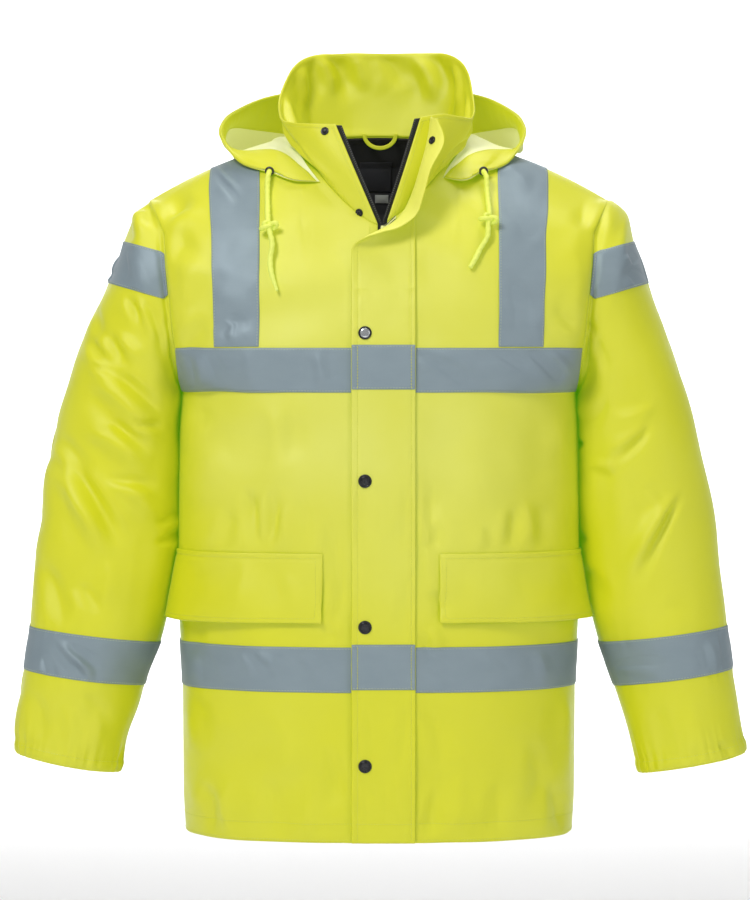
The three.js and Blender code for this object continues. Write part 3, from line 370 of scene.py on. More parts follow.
def creases(u, v, table):
    """Sum of folds, each from (u1, v1) to (u2, v2) with a width, a depth and a bow.

    Across its line a fold is a bell mixed with a tent, of its depth, with a bell of the other sign and
    half the depth on one side; along it, it grows from nothing at one end and dies away at the other.
    """
    total = np.zeros(np.broadcast(u, v).shape)
    for u1, v1, u2, v2, width, depth, bow in table:
        run = np.hypot(u2 - u1, v2 - v1)
        along = ((u - u1) * (u2 - u1) + (v - v1) * (v2 - v1)) / run ** 2
        inside = np.clip(along, 0, 1)
        across = ((u - u1) * (v2 - v1) - (v - v1) * (u2 - u1)) / run + bow * 4 * inside * (1 - inside)
        ends = ease(along, -0.08, 0.3) * (1 - ease(along, 0.62, 1.1))
        wide = width * (0.75 + 0.5 * inside)
        crest = 0.5 * np.exp(-(across / wide) ** 2) + 0.6 * np.maximum(1 - np.abs(across) / (1.5 * wide), 0)
        total += depth * ends * (crest - 0.5 * np.exp(-((across - 1.9 * wide) / (1.3 * wide)) ** 2))
    return total


def unevenness(u, v, size, seed):
    """Slow waves of padded cloth: five sines in different directions, of uneven lengths, added up."""
    turn = np.random.default_rng(seed)
    total = np.zeros(np.broadcast(u, v).shape)
    for _ in range(5):
        angle, length, phase = turn.uniform(0, np.pi), turn.uniform(55, 170), turn.uniform(0, 6.28)
        total += np.sin((u * np.cos(angle) + v * np.sin(angle)) * 6.28 / length + phase)
    return total * size / 5


def puckers(along, away, pitch, size, reach, seed):
    """Small gathers beside a seam: waves along it, uneven in pitch and size, that die away from it."""
    turn = np.random.default_rng(seed)
    phases = turn.uniform(0, 6.28, 3)
    wave = np.sin(along * 6.28 / pitch + phases[0] + 1.7 * np.sin(along * 6.28 / (pitch * 4.3) + phases[1]))
    uneven = 0.55 + 0.45 * np.sin(along * 6.28 / (pitch * 7.1) + phases[2])
    return size * wave * uneven * np.exp(-np.abs(away) / reach)


# Sewing

def along_path(points, normals, pitch):
    """Middles, directions and normals at even steps along a path."""
    steps = np.linalg.norm(np.diff(points, axis=0), axis=1)
    runs = np.concatenate([[0], np.cumsum(steps)])
    places = np.arange(pitch / 2, runs[-1], pitch)
    pick = lambda values: np.stack([np.interp(places, runs, values[:, k]) for k in range(3)], axis=1)
    middles = pick(points)
    ahead = np.stack([np.interp(places + 0.2, runs, points[:, k]) for k in range(3)], axis=1)
    behind = np.stack([np.interp(places - 0.2, runs, points[:, k]) for k in range(3)], axis=1)
    return middles, unit(ahead - behind), unit(pick(normals))


def copies(template, faces, middles, ahead, out):
    """One shape repeated: its x along the path, its z out of the cloth."""
    side = np.cross(out, ahead)
    vertices = (middles[:, None, :] + template[None, :, 0, None] * ahead[:, None, :]
                + template[None, :, 1, None] * side[:, None, :] + template[None, :, 2, None] * out[:, None, :])
    every = faces[None, :, :] + (np.arange(len(middles)) * len(template))[:, None, None]
    return vertices.reshape(-1, 3), every.reshape(-1, faces.shape[1])


def seed_shape(length, width, height):
    """A stitch: a four-sided spindle with three rings between its blunt ends."""
    x = np.array([-0.5, -0.38, 0, 0.38, 0.5]) * length
    r = np.array([0.25, 0.8, 1, 0.8, 0.25])
    turn = np.arange(4) * np.pi / 2
    grid = np.stack(np.broadcast_arrays(x[:, None], r[:, None] * np.cos(turn) * width / 2,
                                        r[:, None] * np.sin(turn) * height / 2), axis=-1)
    faces = np.concatenate([quads_of(5, 4, wraps=True), [[3, 2, 1, 0]], [[16, 17, 18, 19]]])
    return grid.reshape(-1, 3), faces


STITCH, STITCH_FACES = seed_shape(2.5, 0.75, 0.6)


class Sewing:
    """Gathers the stitches of one thread into one piece."""

    def __init__(self):
        self.vertices, self.faces, self.count = [], [], 0

    def add(self, vertices, faces):
        self.vertices.append(vertices)
        self.faces.append(faces + self.count)
        self.count += len(vertices)

    def line(self, grid, normals, rows, columns, wraps=False, pitch=3.4, lift=0.12):
        """Stitches along a path of fractional rows and columns of a grid, just proud of its face."""
        points = sample(grid, rows, columns, wraps)
        out = sample(normals, rows, columns, wraps)
        middles, ahead, out = along_path(points + out * lift, out, pitch)
        self.add(*copies(STITCH, STITCH_FACES, middles, ahead, out))

    def piece(self, name, paint):
        return mesh_of(name, np.concatenate(self.vertices), np.concatenate(self.faces), [paint])


yellow_sewing, grey_sewing = Sewing(), Sewing()


def finish_piece(piece, nodes=(), body=BODY_NAME):
    """Rides a piece on its body, and lets it stand for its solids."""
    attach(piece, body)
    if nodes:
        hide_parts(*nodes)
    return piece


def cut_size(grid, wraps=False):
    """Widest row, longest column and area of a grid, in metres: the flat piece it was cut from."""
    loop = np.concatenate([grid, grid[:, :1]], axis=1) if wraps else grid
    across = np.linalg.norm(np.diff(loop, axis=1), axis=2).sum(axis=1)
    down = np.linalg.norm(np.diff(grid, axis=0), axis=2).sum(axis=0)
    one, other = loop[1:, 1:] - loop[:-1, :-1], loop[1:, :-1] - loop[:-1, 1:]
    area = np.linalg.norm(np.cross(one, other), axis=2).sum() / 2
    width, length = round(across.max() * 0.001, 3), round(down.max() * 0.001, 3)
    return width, length, min(round(area * 1e-6, 6), width * length)


def declare(grid, wraps=False):
    """Works out the flat size of a cloth piece from its grid; nothing is done with it."""
    width, length, area = cut_size(grid, wraps)


# The body's surface, as the solids have it

CLOTH = 1.6  # thickness of the shells
GAP = 0.3
UNDERARM_Z = -298
NECK_Z = -12
NECK_HALF = 88
SHOULDER_HALF = 262
CHEST_HALF = 226
ARMHOLE_REACH = 95
CHEST_TAPE_TOP = -249
LOWER_TAPE_TOP = -582
TAPE_WIDTH = 50
ZIP_X = 4
ZIP_HALF = 6
FLAP_SEAM_X = 40
FLAP_EDGE_X = -30
POCKET_TOP = -478
POCKET_BOTTOM = -554
SECTIONS = {"z": [-800, -760, -600, -400, UNDERARM_Z], "half": [222, 224.5, 226, 226, CHEST_HALF],
            "front": [158, 161, 164, 166, 165], "back": [148, 150, 151, 152, 155]}


def oval(share, power):
    """Height of a squarish quarter oval: the power-th root of 1 less the share to that power."""
    return (1 - np.clip(share, 0, 1) ** power) ** (1 / power)


def crest_z(x, is_back):
    """Height of the shoulder seam: it falls away from the neck as a slope plus a square."""
    beyond = np.maximum(np.abs(x) - NECK_HALF, 0)
    rise = 34 * oval(np.abs(x) / NECK_HALF, 2) if is_back else 0
    return NECK_Z - 0.159 * beyond - 0.00129 * beyond ** 2 + rise


SHOULDER_Z = float(crest_z(np.float64(SHOULDER_HALF), False))
ARMHOLE = {"z": [UNDERARM_Z, -265, -231, -195, -157, -119, -100, SHOULDER_Z],
           "half": [CHEST_HALF, 229, 233, 236, 240, 243, 252, SHOULDER_HALF]}


def half_width(z):
    """Half the body's width at a height: the sections below the arms, the armhole seam above."""
    return np.where(z <= UNDERARM_Z, np.interp(z, SECTIONS["z"], SECTIONS["half"]),
                    np.interp(z, ARMHOLE["z"], ARMHOLE["half"]))


def column_x(share, z):
    """Sideways place of a column: a share of the half width; above the arms only outer columns flare."""
    above = share * CHEST_HALF + (half_width(z) - CHEST_HALF) * share ** 6
    return np.where(z <= UNDERARM_Z, share * half_width(z), above)


def armhole_reach(z):
    """How far the armhole bows at a height: half a circle of its reach."""
    up = np.clip((z - UNDERARM_Z) / (SHOULDER_Z - UNDERARM_Z), 0, 1)
    return ARMHOLE_REACH * 2 * np.sqrt(up * (1 - up))


def body_y(x, z, is_back):
    """Depth of the body: an oval across, another up to the shoulder, and the armhole's bow at the side."""
    across = oval(np.abs(x) / half_width(z), 2.5)
    depth = np.interp(z, SECTIONS["z"], SECTIONS["back" if is_back else "front"])
    up = (z - UNDERARM_Z) / (crest_z(x, is_back) - UNDERARM_Z)
    above = depth * across * oval(np.maximum(up, 0), 2.6 if is_back else 2) + armhole_reach(z) * (1 - across)
    reach = np.where(z > UNDERARM_Z, above, depth * across)
    return (1 if is_back else -1) * (reach + GAP / 2)


def top_z(share, is_back):
    """Top of a column: the shoulder seam, or the neckline within the neck."""
    x = column_x(share, np.zeros_like(share))
    crest = crest_z(x, is_back)
    inside = crest - 24 * oval(x / NECK_HALF, 2) if is_back else NECK_Z - 100 * oval(x / NECK_HALF, 1.3)
    return np.where(x >= NECK_HALF, crest, inside)


LEVELS = np.arange(-800, CHEST_TAPE_TOP + 0.1, 3.8)
FAN = 60  # rows from the chest tape up to the top


class Panel:
    """A front or the back: its grid, its normals, and where its rows and columns lie."""

    def __init__(self, shares, is_back, table, seed):
        share = np.abs(shares)[None, :]
        crest = crest_z(column_x(share, np.zeros_like(share)), is_back)
        turn = lambda z: np.arcsin(np.clip((z - UNDERARM_Z) / (crest - UNDERARM_Z), 0, 1))
        low, high = turn(CHEST_TAPE_TOP), turn(top_z(share, is_back))
        steps = np.arange(1, FAN + 1)[:, None] / FAN
        fan = UNDERARM_Z + (crest - UNDERARM_Z) * np.sin(low + (high - low) * steps)
        z = np.concatenate([np.broadcast_to(LEVELS[:, None], (len(LEVELS), len(shares))), fan])
        x = np.sign(shares) * column_x(share, z)
        self.shares, self.z, self.x, self.is_back = shares, z, x, is_back
        grid = np.stack([x, body_y(x, z, is_back), z], axis=-1)
        side = np.abs(share)
        soft = (np.exp(-((z - SHOULDER_Z) / 26) ** 2) * (1 - ease(side, 0.9, 0.99)))[1:-1, :, None]
        for _ in range(70):
            grid[1:-1] += soft * (grid[:-2] + grid[2:] - 2 * grid[1:-1]) * 0.25
        spare = np.interp(z, [-620, -560, -500, -420, -340, -300], [0, 3.2, 4.6, 4.2, 3.2, 0])
        grid[..., 0] += np.sign(shares) * spare * ease(side, 0.75, 1)
        self.normals = normals_of(grid, sign=-1 if is_back else 1)
        edge = (1 - ease(side, 0.93, 1.0)) * ease(np.full_like(z, len(z)) - np.arange(len(z))[:, None], 1, 9)
        under_flap = 1 if is_back else np.where(z < -130, ease(np.abs(x - 5), 34, 50), 1)
        fold = (1.75 * creases(x, z, table) + unevenness(x, z, 3.4, seed)) * under_flap
        fold += puckers(x, z + 779, 17, 0.7, 9, seed + 1) - 0.8 * np.exp(-((z + 779) / 2.2) ** 2)
        self.out = fold * edge
        self.grid = grid + self.normals * self.out[..., None]
        self.normals = normals_of(self.grid, sign=-1 if is_back else 1)

    def row(self, z):
        """Fractional row of a height below the chest tape's top edge."""
        return np.interp(z, LEVELS, np.arange(len(LEVELS)))

    def column(self, share):
        return np.interp(share, self.shares, np.arange(len(self.shares)))

    def patch(self, rows, columns, out):
        """Grid and normals at fractional rows and columns, moved out of the cloth."""
        rows, columns = np.asarray(rows)[:, None], np.asarray(columns)[None, :]
        normals = unit(sample(self.normals, rows, columns))
        return sample(self.grid, rows, columns) + normals * out, normals


# Folds of the fronts and the back: from x, z to x, z, then width, depth and bow
RIGHT_FRONT_FOLDS = [
    (-256, -112, -214, -76, 9, -5.0, 3), (-240, -150, -205, -128, 14, -2.2, 4), (-222, -200, -196, -150, 14, 2.0, 5),
    (-196, -218, -226, -252, 12, -2.6, 4), (-176, -236, -150, -214, 8, -1.6, 3), (-205, -310, -190, -372, 13, -2.4, 6),
    (-192, -320, -182, -400, 15, 2.4, -5), (-120, -312, -108, -398, 14, 1.8, 5), (-98, -320, -104, -380, 12, -1.7, 4),
    (-150, -405, -134, -474, 8, -2.8, 4), (-132, -415, -124, -470, 7, 2.4, -3), (-118, -405, -122, -472, 7, -2.4, 3),
    (-106, -425, -114, -474, 6, 2.0, 2), (-168, -430, -176, -474, 8, -1.8, 3), (-92, -410, -82, -474, 9, -1.4, 4),
    (-58, -440, -46, -560, 10, -2.2, 6), (-52, -500, -60, -556, 6, 1.8, 3), (-48, -575, -62, -560, 7, -1.4, 0),
    (-210, -640, -196, -700, 12, -1.8, 5), (-120, -650, -100, -730, 16, 1.5, 8), (-196, -740, -186, -798, 9, -2.4, 4),
    (-168, -735, -172, -796, 10, 1.8, -4), (-128, -728, -118, -798, 12, -1.8, 5), (-78, -720, -86, -798, 12, 1.6, 4),
    (-60, -690, -48, -760, 9, -1.8, 4), (-205, -560, -214, -600, 9, -1.4, 3)]
LEFT_FRONT_FOLDS = [
    (256, -118, 226, -88, 12, -3.0, 3), (238, -176, 214, -120, 15, 1.8, 5), (226, -228, 198, -196, 12, -2.6, 4),
    (214, -250, 178, -222, 10, -1.5, 2), (222, -318, 206, -392, 13, -2.0, 6), (196, -330, 204, -420, 15, 1.7, 5),
    (58, -402, 50, -476, 7, -3.0, 3), (50, -430, 62, -520, 6, 2.6, -3), (66, -442, 58, -474, 6, -2.2, 3),
    (56, -520, 74, -548, 8, -2.4, 3), (50, -560, 66, -584, 7, 1.8, 3), (60, -596, 48, -560, 6, -1.6, 2),
    (120, -446, 126, -474, 7, -1.8, 2), (150, -430, 144, -474, 8, -2.0, 3), (162, -420, 170, -474, 8, 1.7, 3),
    (184, -424, 176, -474, 9, -1.5, 3), (98, -330, 110, -440, 20, 1.4, 6), (214, -420, 222, -470, 9, -1.6, 3),
    (52, -650, 72, -720, 9, -1.8, 5), (60, -740, 50, -796, 8, -2.4, 4), (88, -720, 80, -796, 11, 1.9, 4),
    (132, -730, 124, -798, 13, -1.7, 5), (172, -690, 180, -770, 12, -1.8, 6), (196, -740, 204, -798, 9, -2.2, 4),
    (210, -640, 216, -740, 10, 1.7, 5)]
BACK_FOLDS = [
    (-250, -118, -206, -84, 11, -3.6, 3), (250, -112, 210, -80, 10, -4.0, -3), (-226, -230, -180, -160, 14, -2.2, 6),
    (224, -222, 188, -160, 14, -2.4, -6), (-200, -310, -188, -400, 15, -2.2, 6), (204, -312, 190, -410, 14, -2.4, -6),
    (-120, -200, -70, -232, 16, -1.8, 5), (110, -190, 64, -226, 16, -1.7, -5), (-60, -320, -40, -440, 18, 1.8, 8),
    (46, -330, 62, -450, 20, -1.8, 8), (-150, -420, -120, -540, 15, -2.4, 8), (150, -430, 128, -560, 16, 2.2, 8),
    (-30, -470, -10, -570, 15, 1.8, 6), (90, -480, 76, -570, 12, -2.0, 5), (-200, -500, -206, -572, 10, -2.0, 4),
    (206, -500, 210, -574, 10, -1.8, 4), (-130, -650, -110, -750, 16, 1.6, 7), (60, -650, 76, -760, 17, -1.7, 7),
    (-196, -720, -186, -798, 10, -2.2, 4), (-90, -730, -100, -798, 12, -1.9, 4), (-20, -726, -12, -798, 13, 1.7, 4),
    (120, -724, 112, -798, 12, -2.0, 4), (190, -716, 198, -798, 10, -2.3, 4), (0, -640, 12, -700, 14, -1.2, 4)]


def fine_shares(start, count):
    """Shares from the front edge to the side seam, closer together where the side turns."""
    t = np.linspace(0, 1, count)
    return start + (1 - start) * np.sin(t * np.pi / 2) ** 0.8


right = Panel(-fine_shares((ZIP_HALF - ZIP_X) / CHEST_HALF, 76)[::-1], False, RIGHT_FRONT_FOLDS, 3)
left = Panel(fine_shares((ZIP_HALF + ZIP_X) / CHEST_HALF, 76), False, LEFT_FRONT_FOLDS, 5)
half_back = fine_shares(0, 64)
back = Panel(np.concatenate([-half_back[::-1], half_back[1:]]), True, BACK_FOLDS, 8)
for name, panel, partner in (("right_front", right, "back"), ("left_front", left, "back"),
                             ("back", back, "right_front")):
    piece = shell(f"{name}_cloth", panel.grid, panel.normals, CLOTH, [YELLOW, LINING])
    finish_piece(piece, [name])
    declare(panel.grid)
    hem = panel.row(-779)
    columns = np.linspace(1, len(panel.shares) - 2, 400)
    yellow_sewing.line(panel.grid, panel.normals, np.full(400, hem), columns)
    yellow_sewing.line(panel.grid, panel.normals, np.full(400, panel.row(-797.5)), columns)

# Front edges, side seams and shoulder seams
for panel, inner, outer in ((right, -1, 0), (left, 0, -1)):
    rows = np.linspace(2, len(panel.z) - 3, 500)
    edge = (len(panel.shares) - 1.8) if inner == -1 else 0.8
    yellow_sewing.line(panel.grid, panel.normals, rows, np.full(500, edge))
    side = 1.2 if outer == 0 else len(panel.shares) - 2.2
    up = np.linspace(panel.row(UNDERARM_Z) + 2, len(panel.z) - 3, 200)
    yellow_sewing.line(panel.grid, panel.normals, up, np.full(200, side))
    top = np.full(120, len(panel.z) - 3.5)
    shoulder = np.linspace(panel.column(-0.97 if inner == -1 else 0.4), panel.column(-0.4 if inner == -1 else 0.97), 120)
    yellow_sewing.line(panel.grid, panel.normals, top, shoulder)
for side in (-1, 1):
    up = np.linspace(back.row(UNDERARM_Z) + 2, len(back.z) - 3, 200)
    yellow_sewing.line(back.grid, back.normals, up, np.full(200, 1.2 if side < 0 else len(back.shares) - 2.2))
    ends = sorted([back.column(side * 0.4), back.column(side * 0.97)])
    yellow_sewing.line(back.grid, back.normals, np.full(120, len(back.z) - 3.5), np.linspace(*ends, 120))


# Reflective tape

TAPE_OFF = 0.35
TAPE_THICK = 0.55
BAND_FOLDS = {
    "right_chest_tape": [(-222, -256, -214, -292, 6, -1.5, 2), (-205, -252, -198, -296, 8, 1.2, 2),
                         (-190, -254, -176, -290, 7, -1.2, 2), (-148, -250, -142, -298, 8, 0.9, 1),
                         (-72, -254, -62, -294, 7, 1.1, 2), (-60, -252, -52, -284, 5, -0.9, 1)],
    "left_chest_tape": [(44, -254, 98, -288, 5, -1.4, 2), (62, -252, 110, -276, 6, 1.0, 2),
                        (128, -252, 164, -272, 5, -1.2, 1), (168, -252, 204, -284, 6, -1.6, 2),
                        (190, -252, 216, -278, 5, 1.2, 1)],
    "right_lower_tape": [(-150, -588, -128, -614, 5, -1.6, 2), (-138, -590, -112, -606, 6, 1.2, 1),
                         (-116, -592, -100, -616, 5, -1.3, 2), (-88, -590, -64, -618, 7, 1.0, 2),
                         (-200, -590, -190, -628, 8, -1.2, 2)],
    "left_lower_tape": [(50, -596, 92, -622, 8, -0.9, 2), (120, -588, 150, -600, 6, -0.9, 1),
                        (176, -588, 190, -626, 8, 1.0, 2)],
    "back_chest_tape": [(-180, -254, -160, -294, 8, -1.4, 2), (-60, -252, -36, -292, 8, 1.2, 2),
                        (40, -254, 66, -290, 7, -1.3, 2), (150, -252, 172, -292, 8, 1.3, 2)],
    "back_lower_tape": [(-170, -588, -150, -626, 8, 1.2, 2), (-80, -586, -60, -622, 7, -1.3, 2),
                        (20, -588, 50, -616, 7, -1.2, 2), (140, -586, 158, -628, 8, 1.3, 2)],
    "right_brace_front": [(-186, -36, -160, -62, 3.5, -0.9, 1), (-184, -46, -156, -76, 3.5, 0.9, 1),
                          (-182, -58, -158, -84, 3.5, -0.8, 1), (-170, -214, -148, -228, 4, -2.2, 3),
                          (-158, -222, -150, -246, 4, -2.0, -3), (-172, -230, -160, -246, 4, 1.6, 2),
                          (-182, -222, -176, -246, 4, -1.2, 1)],
    "left_brace_front": [(140, -40, 172, -70, 9, 1.2, 3), (146, -90, 176, -128, 11, -1.1, 3),
                         (150, -170, 160, -240, 9, -1.0, 3)],
    "right_brace_back": [(-176, -50, -148, -90, 8, -1.2, 3), (-150, -190, -170, -236, 8, 1.3, 2)],
    "left_brace_back": [(146, -60, 172, -96, 8, -1.2, 3), (168, -180, 150, -236, 8, -1.3, 2)],
}


def tape(name, patch, normals, edges="all", wraps=False):
    """A strip of tape on a patch of cloth, with its own fine creases, sewn along its long edges."""
    folds = 1.7 * creases(patch[..., 0], patch[..., 2], BAND_FOLDS.get(name, []))
    folds += 0.35 + 0.35 * unevenness(patch[..., 0] * 3, patch[..., 2] * 3, 1.6, len(name))
    rows = np.arange(patch.shape[0])[:, None] / (patch.shape[0] - 1)
    hold = ease(rows, 0, 0.08) * (1 - ease(rows, 0.92, 1))
    side = patch + normals * (np.maximum(folds, -0.3) * hold)[..., None]
    fresh = normals_of(side, wraps)
    fresh *= np.sign(np.sum(fresh * normals, axis=-1, keepdims=True))
    piece = shell(f"{name}_strip", side, fresh, TAPE_THICK, [TAPE], wraps)
    finish_piece(piece, [name])
    declare(side, wraps)
    last, across = patch.shape[0] - 1, patch.shape[1] - 1
    share = last * 1.6 / TAPE_WIDTH
    if edges == "all":
        steps = np.linspace(0, across + 1, 900) if wraps else np.linspace(0.3, across - 0.3, 700)
        for row in (share, last - share):
            grey_sewing.line(side, fresh, np.full(len(steps), row), steps, wraps)
    else:
        steps = np.linspace(0.3, last - 0.3, 400)
        for column in (0.03 * across, 0.97 * across):
            grey_sewing.line(side, fresh, steps, np.full(400, column))
    return side, fresh


BANDS = {"chest_tape": (UNDERARM_Z, CHEST_TAPE_TOP, 0.99), "lower_tape": (LOWER_TAPE_TOP - TAPE_WIDTH, LOWER_TAPE_TOP, 1)}
for band, (bottom, top, end) in BANDS.items():
    for name, panel, first, last in (("right", right, -end, right.shares[-1]), ("left", left, left.shares[0], end),
                                     ("back", back, -end, end)):
        count = 200 if name == "back" else 120
        share = np.linspace(0, 1, count)
        columns = np.interp(share, [0, 1], [panel.column(first), panel.column(last)])
        rows = panel.row(np.linspace(bottom, top, 40))
        patch, normals = panel.patch(rows, columns, TAPE_OFF + TAPE_THICK)
        under = "back" if name == "back" else f"{name}_front"
        tape(f"{name}_{band}", patch, normals)
for name, panel, side in (("right_brace_front", right, -1), ("left_brace_front", left, 1),
                          ("right_brace_back", back, -1), ("left_brace_back", back, 1)):
    rows = np.linspace(panel.row(CHEST_TAPE_TOP) + 0.3, len(panel.z) - 1, 150)
    columns = np.linspace(*sorted([panel.column(side * 0.59), panel.column(side * 0.807)]), 36)
    patch, normals = panel.patch(rows, columns, TAPE_OFF + TAPE_THICK)
    tape(name, patch, normals, edges="long")


# Pocket flaps, standing off more and more towards the hem and the side

POCKET_FOLDS = {
    "right": [(-150, -482, -160, -552, 9, 1.6, 3), (-118, -490, -128, -540, 12, -1.5, 5),
              (-104, -500, -92, -548, 10, 1.4, 4), (-206, -490, -212, -550, 12, -1.5, 4)],
    "left": [(110, -486, 104, -550, 12, 1.2, 4), (150, -490, 158, -548, 14, -1.3, 4),
             (206, -486, 214, -550, 12, -1.5, 4)]}


def pocket_flap(name, panel, inner, outer):
    """The panel's patch moved out: a little at its sewn top, up to 17 mm at its outer lower corner."""
    rows = panel.row(np.linspace(POCKET_BOTTOM, POCKET_TOP, 30))
    columns = np.linspace(*sorted([panel.column(inner), panel.column(outer)]), 64)
    patch, normals = panel.patch(rows, columns, 0)
    down = 1 - np.linspace(0, 1, 30)[:, None]
    share = np.linspace(0, 1, 64)[None, :]
    toward_side = 1 - share if panel is right else share
    off = 2.6 + down ** 1.3 * (3 + 12 * toward_side ** 2) - 0.9 * np.exp(-((down - 0.07) / 0.03) ** 2)
    off = off + creases(patch[..., 0], patch[..., 2], POCKET_FOLDS[name]) * ease(down, 0, 0.25)
    side = patch + normals * off[..., None]
    fresh = normals_of(side)
    piece = shell(f"{name}_pocket_flap_cloth", side, fresh, 2.0, [YELLOW])
    finish_piece(piece, [f"{name}_pocket_flap"])
    declare(side)
    last, across = 29, 63
    for inset in (0.045,):
        low, high = inset * across * 0.5, across - inset * across * 0.5
        steps = np.linspace(low, high, 300)
        yellow_sewing.line(side, fresh, np.full(300, last * 0.06), steps)
        yellow_sewing.line(side, fresh, np.full(300, last * 0.94), steps)
        up = np.linspace(last * 0.06, last * 0.94, 160)
        yellow_sewing.line(side, fresh, up, np.full(160, low))
        yellow_sewing.line(side, fresh, up, np.full(160, high))


RIGHT_POCKET = (-0.28, -0.993)
LEFT_POCKET = (0.3, 0.993)
pocket_flap("right", right, *RIGHT_POCKET)
pocket_flap("left", left, *LEFT_POCKET)


# Sleeves: rings that fan out from the armhole and end at the cuff

SLEEVE = {
    "outer_z": [-95, -125, -180, -235, -290, -345, -400, -452, -510, -566, -615, -663, -711],
    "outer": [281, 292, 314, 339, 357, 372, 383, 389, 397, 402, 408, 415, 418],
    "left_outer": [283, 292, 311, 332, 349, 364, 377, 386, 392, 400, 406, 412, 420],
    "inner_z": [-313, -332, -360, -390, -420, -450, -480, -509, -546, -584, -634, -684, -734],
    "inner": [228.5, 229.5, 230, 231, 232, 233, 235, 239, 245, 254, 271, 285, 298],
    "depth": [93, 91, 88, 85, 83, 81, 80, 79, 77, 74, 70, 65, 61],
    "y": [0, 0, -1, -2, -3, -4, -5, -6, -8, -10, -12, -14, -16],
}
# The largest folds, as the solids have them: ring, degrees round, reach, spread and depth
SLEEVE_TROUGHS = {
    "right": [(5.0, 62, 0.8, 34, 5), (6.6, 118, 0.8, 40, 6), (8.2, 70, 0.7, 38, 5), (6.4, 236, 0.9, 40, 5),
              (8.4, 292, 0.8, 36, 4)],
    "left": [(7.6, 84, 0.9, 44, 5), (5.4, 132, 0.8, 30, 3), (6.8, 250, 0.9, 40, 5)],
}
# Folds seen from the front: from x, z to x, z, then width, depth and bow
RIGHT_SLEEVE_FOLDS = [
    (-264, -82, -256, -111, 7, -2.6, 1), (-280, -92, -268, -124, 8, 2.2, 2),
    (-288, -104, -282, -131, 6, -1.6, 1), (-285, -190, -268, -219, 5, -2.0, 1),
    (-274, -190, -249, -245, 6, 2.2, 2), (-325, -199, -317, -237, 6, -2.0, 1),
    (-261, -199, -243, -263, 7, -2.2, 2), (-310, -230, -291, -269, 7, -2.6, 2),
    (-330, -239, -296, -272, 6, -3.4, -2), (-298, -234, -268, -265, 8, 2.6, 2),
    (-326, -269, -298, -276, 4, -2.2, 0), (-303, -274, -243, -327, 8, -3.8, 3),
    (-325, -283, -261, -341, 12, 3.6, 3), (-307, -329, -261, -368, 7, -3.0, 3),
    (-333, -338, -264, -385, 12, 3.0, 4), (-281, -334, -245, -336, 5, -2.6, 0),
    (-365, -349, -330, -398, 9, -3.2, 3), (-372, -366, -351, -428, 10, -2.6, 3),
    (-353, -378, -291, -474, 9, -5.4, 4), (-369, -389, -310, -481, 10, 3.0, 4),
    (-307, -396, -252, -403, 6, -2.6, 0), (-287, -405, -252, -444, 10, 2.2, 3),
    (-254, -472, -231, -456, 5, -2.0, 0), (-252, -449, -231, -431, 5, -1.6, 0),
    (-381, -493, -358, -566, 10, -2.8, 3), (-340, -516, -317, -548, 8, -2.2, 2),
    (-307, -488, -312, -543, 10, 1.8, 3), (-390, -642, -386, -702, 10, -2.8, 3),
    (-356, -654, -346, -702, 8, 2.0, 2), (-333, -640, -310, -675, 8, -1.8, 2),
    (-317, -658, -326, -704, 8, 1.5, 2)]
LEFT_SLEEVE_FOLDS = [
    (260, -84, 254, -136, 8, 1.4, 2), (280, -85, 273, -124, 8, -1.2, 2), (231, -214, 245, -233, 4, -3.2, 0),
    (243, -239, 259, -276, 6, -1.6, 2), (229, -226, 234, -311, 9, -2.6, 2), (257, -306, 236, -338, 8, -1.8, 2),
    (312, -315, 266, -332, 8, 1.6, 2), (307, -338, 266, -378, 6, -3.0, 2), (223, -352, 236, -361, 4, -3.2, 0),
    (243, -380, 270, -385, 6, 1.8, 0), (300, -405, 328, -421, 6, -1.6, 2), (344, -417, 294, -516, 6, -4.0, -4),
    (326, -424, 296, -495, 11, 2.2, -4), (226, -454, 238, -472, 5, -3.2, 0),
    (234, -495, 257, -543, 9, -2.4, 3), (323, -539, 358, -550, 12, -1.0, 2),
    (312, -654, 323, -725, 12, -1.4, 3), (351, -654, 358, -714, 12, 1.4, 3),
    (386, -698, 402, -714, 5, -2.2, 0), (282, -389, 300, -447, 12, -1.2, 3)]


def mirrored(table):
    """The same folds on the other side of the body."""
    return [(-u1, v1, -u2, v2, width, depth, -bow) for u1, v1, u2, v2, width, depth, bow in table]


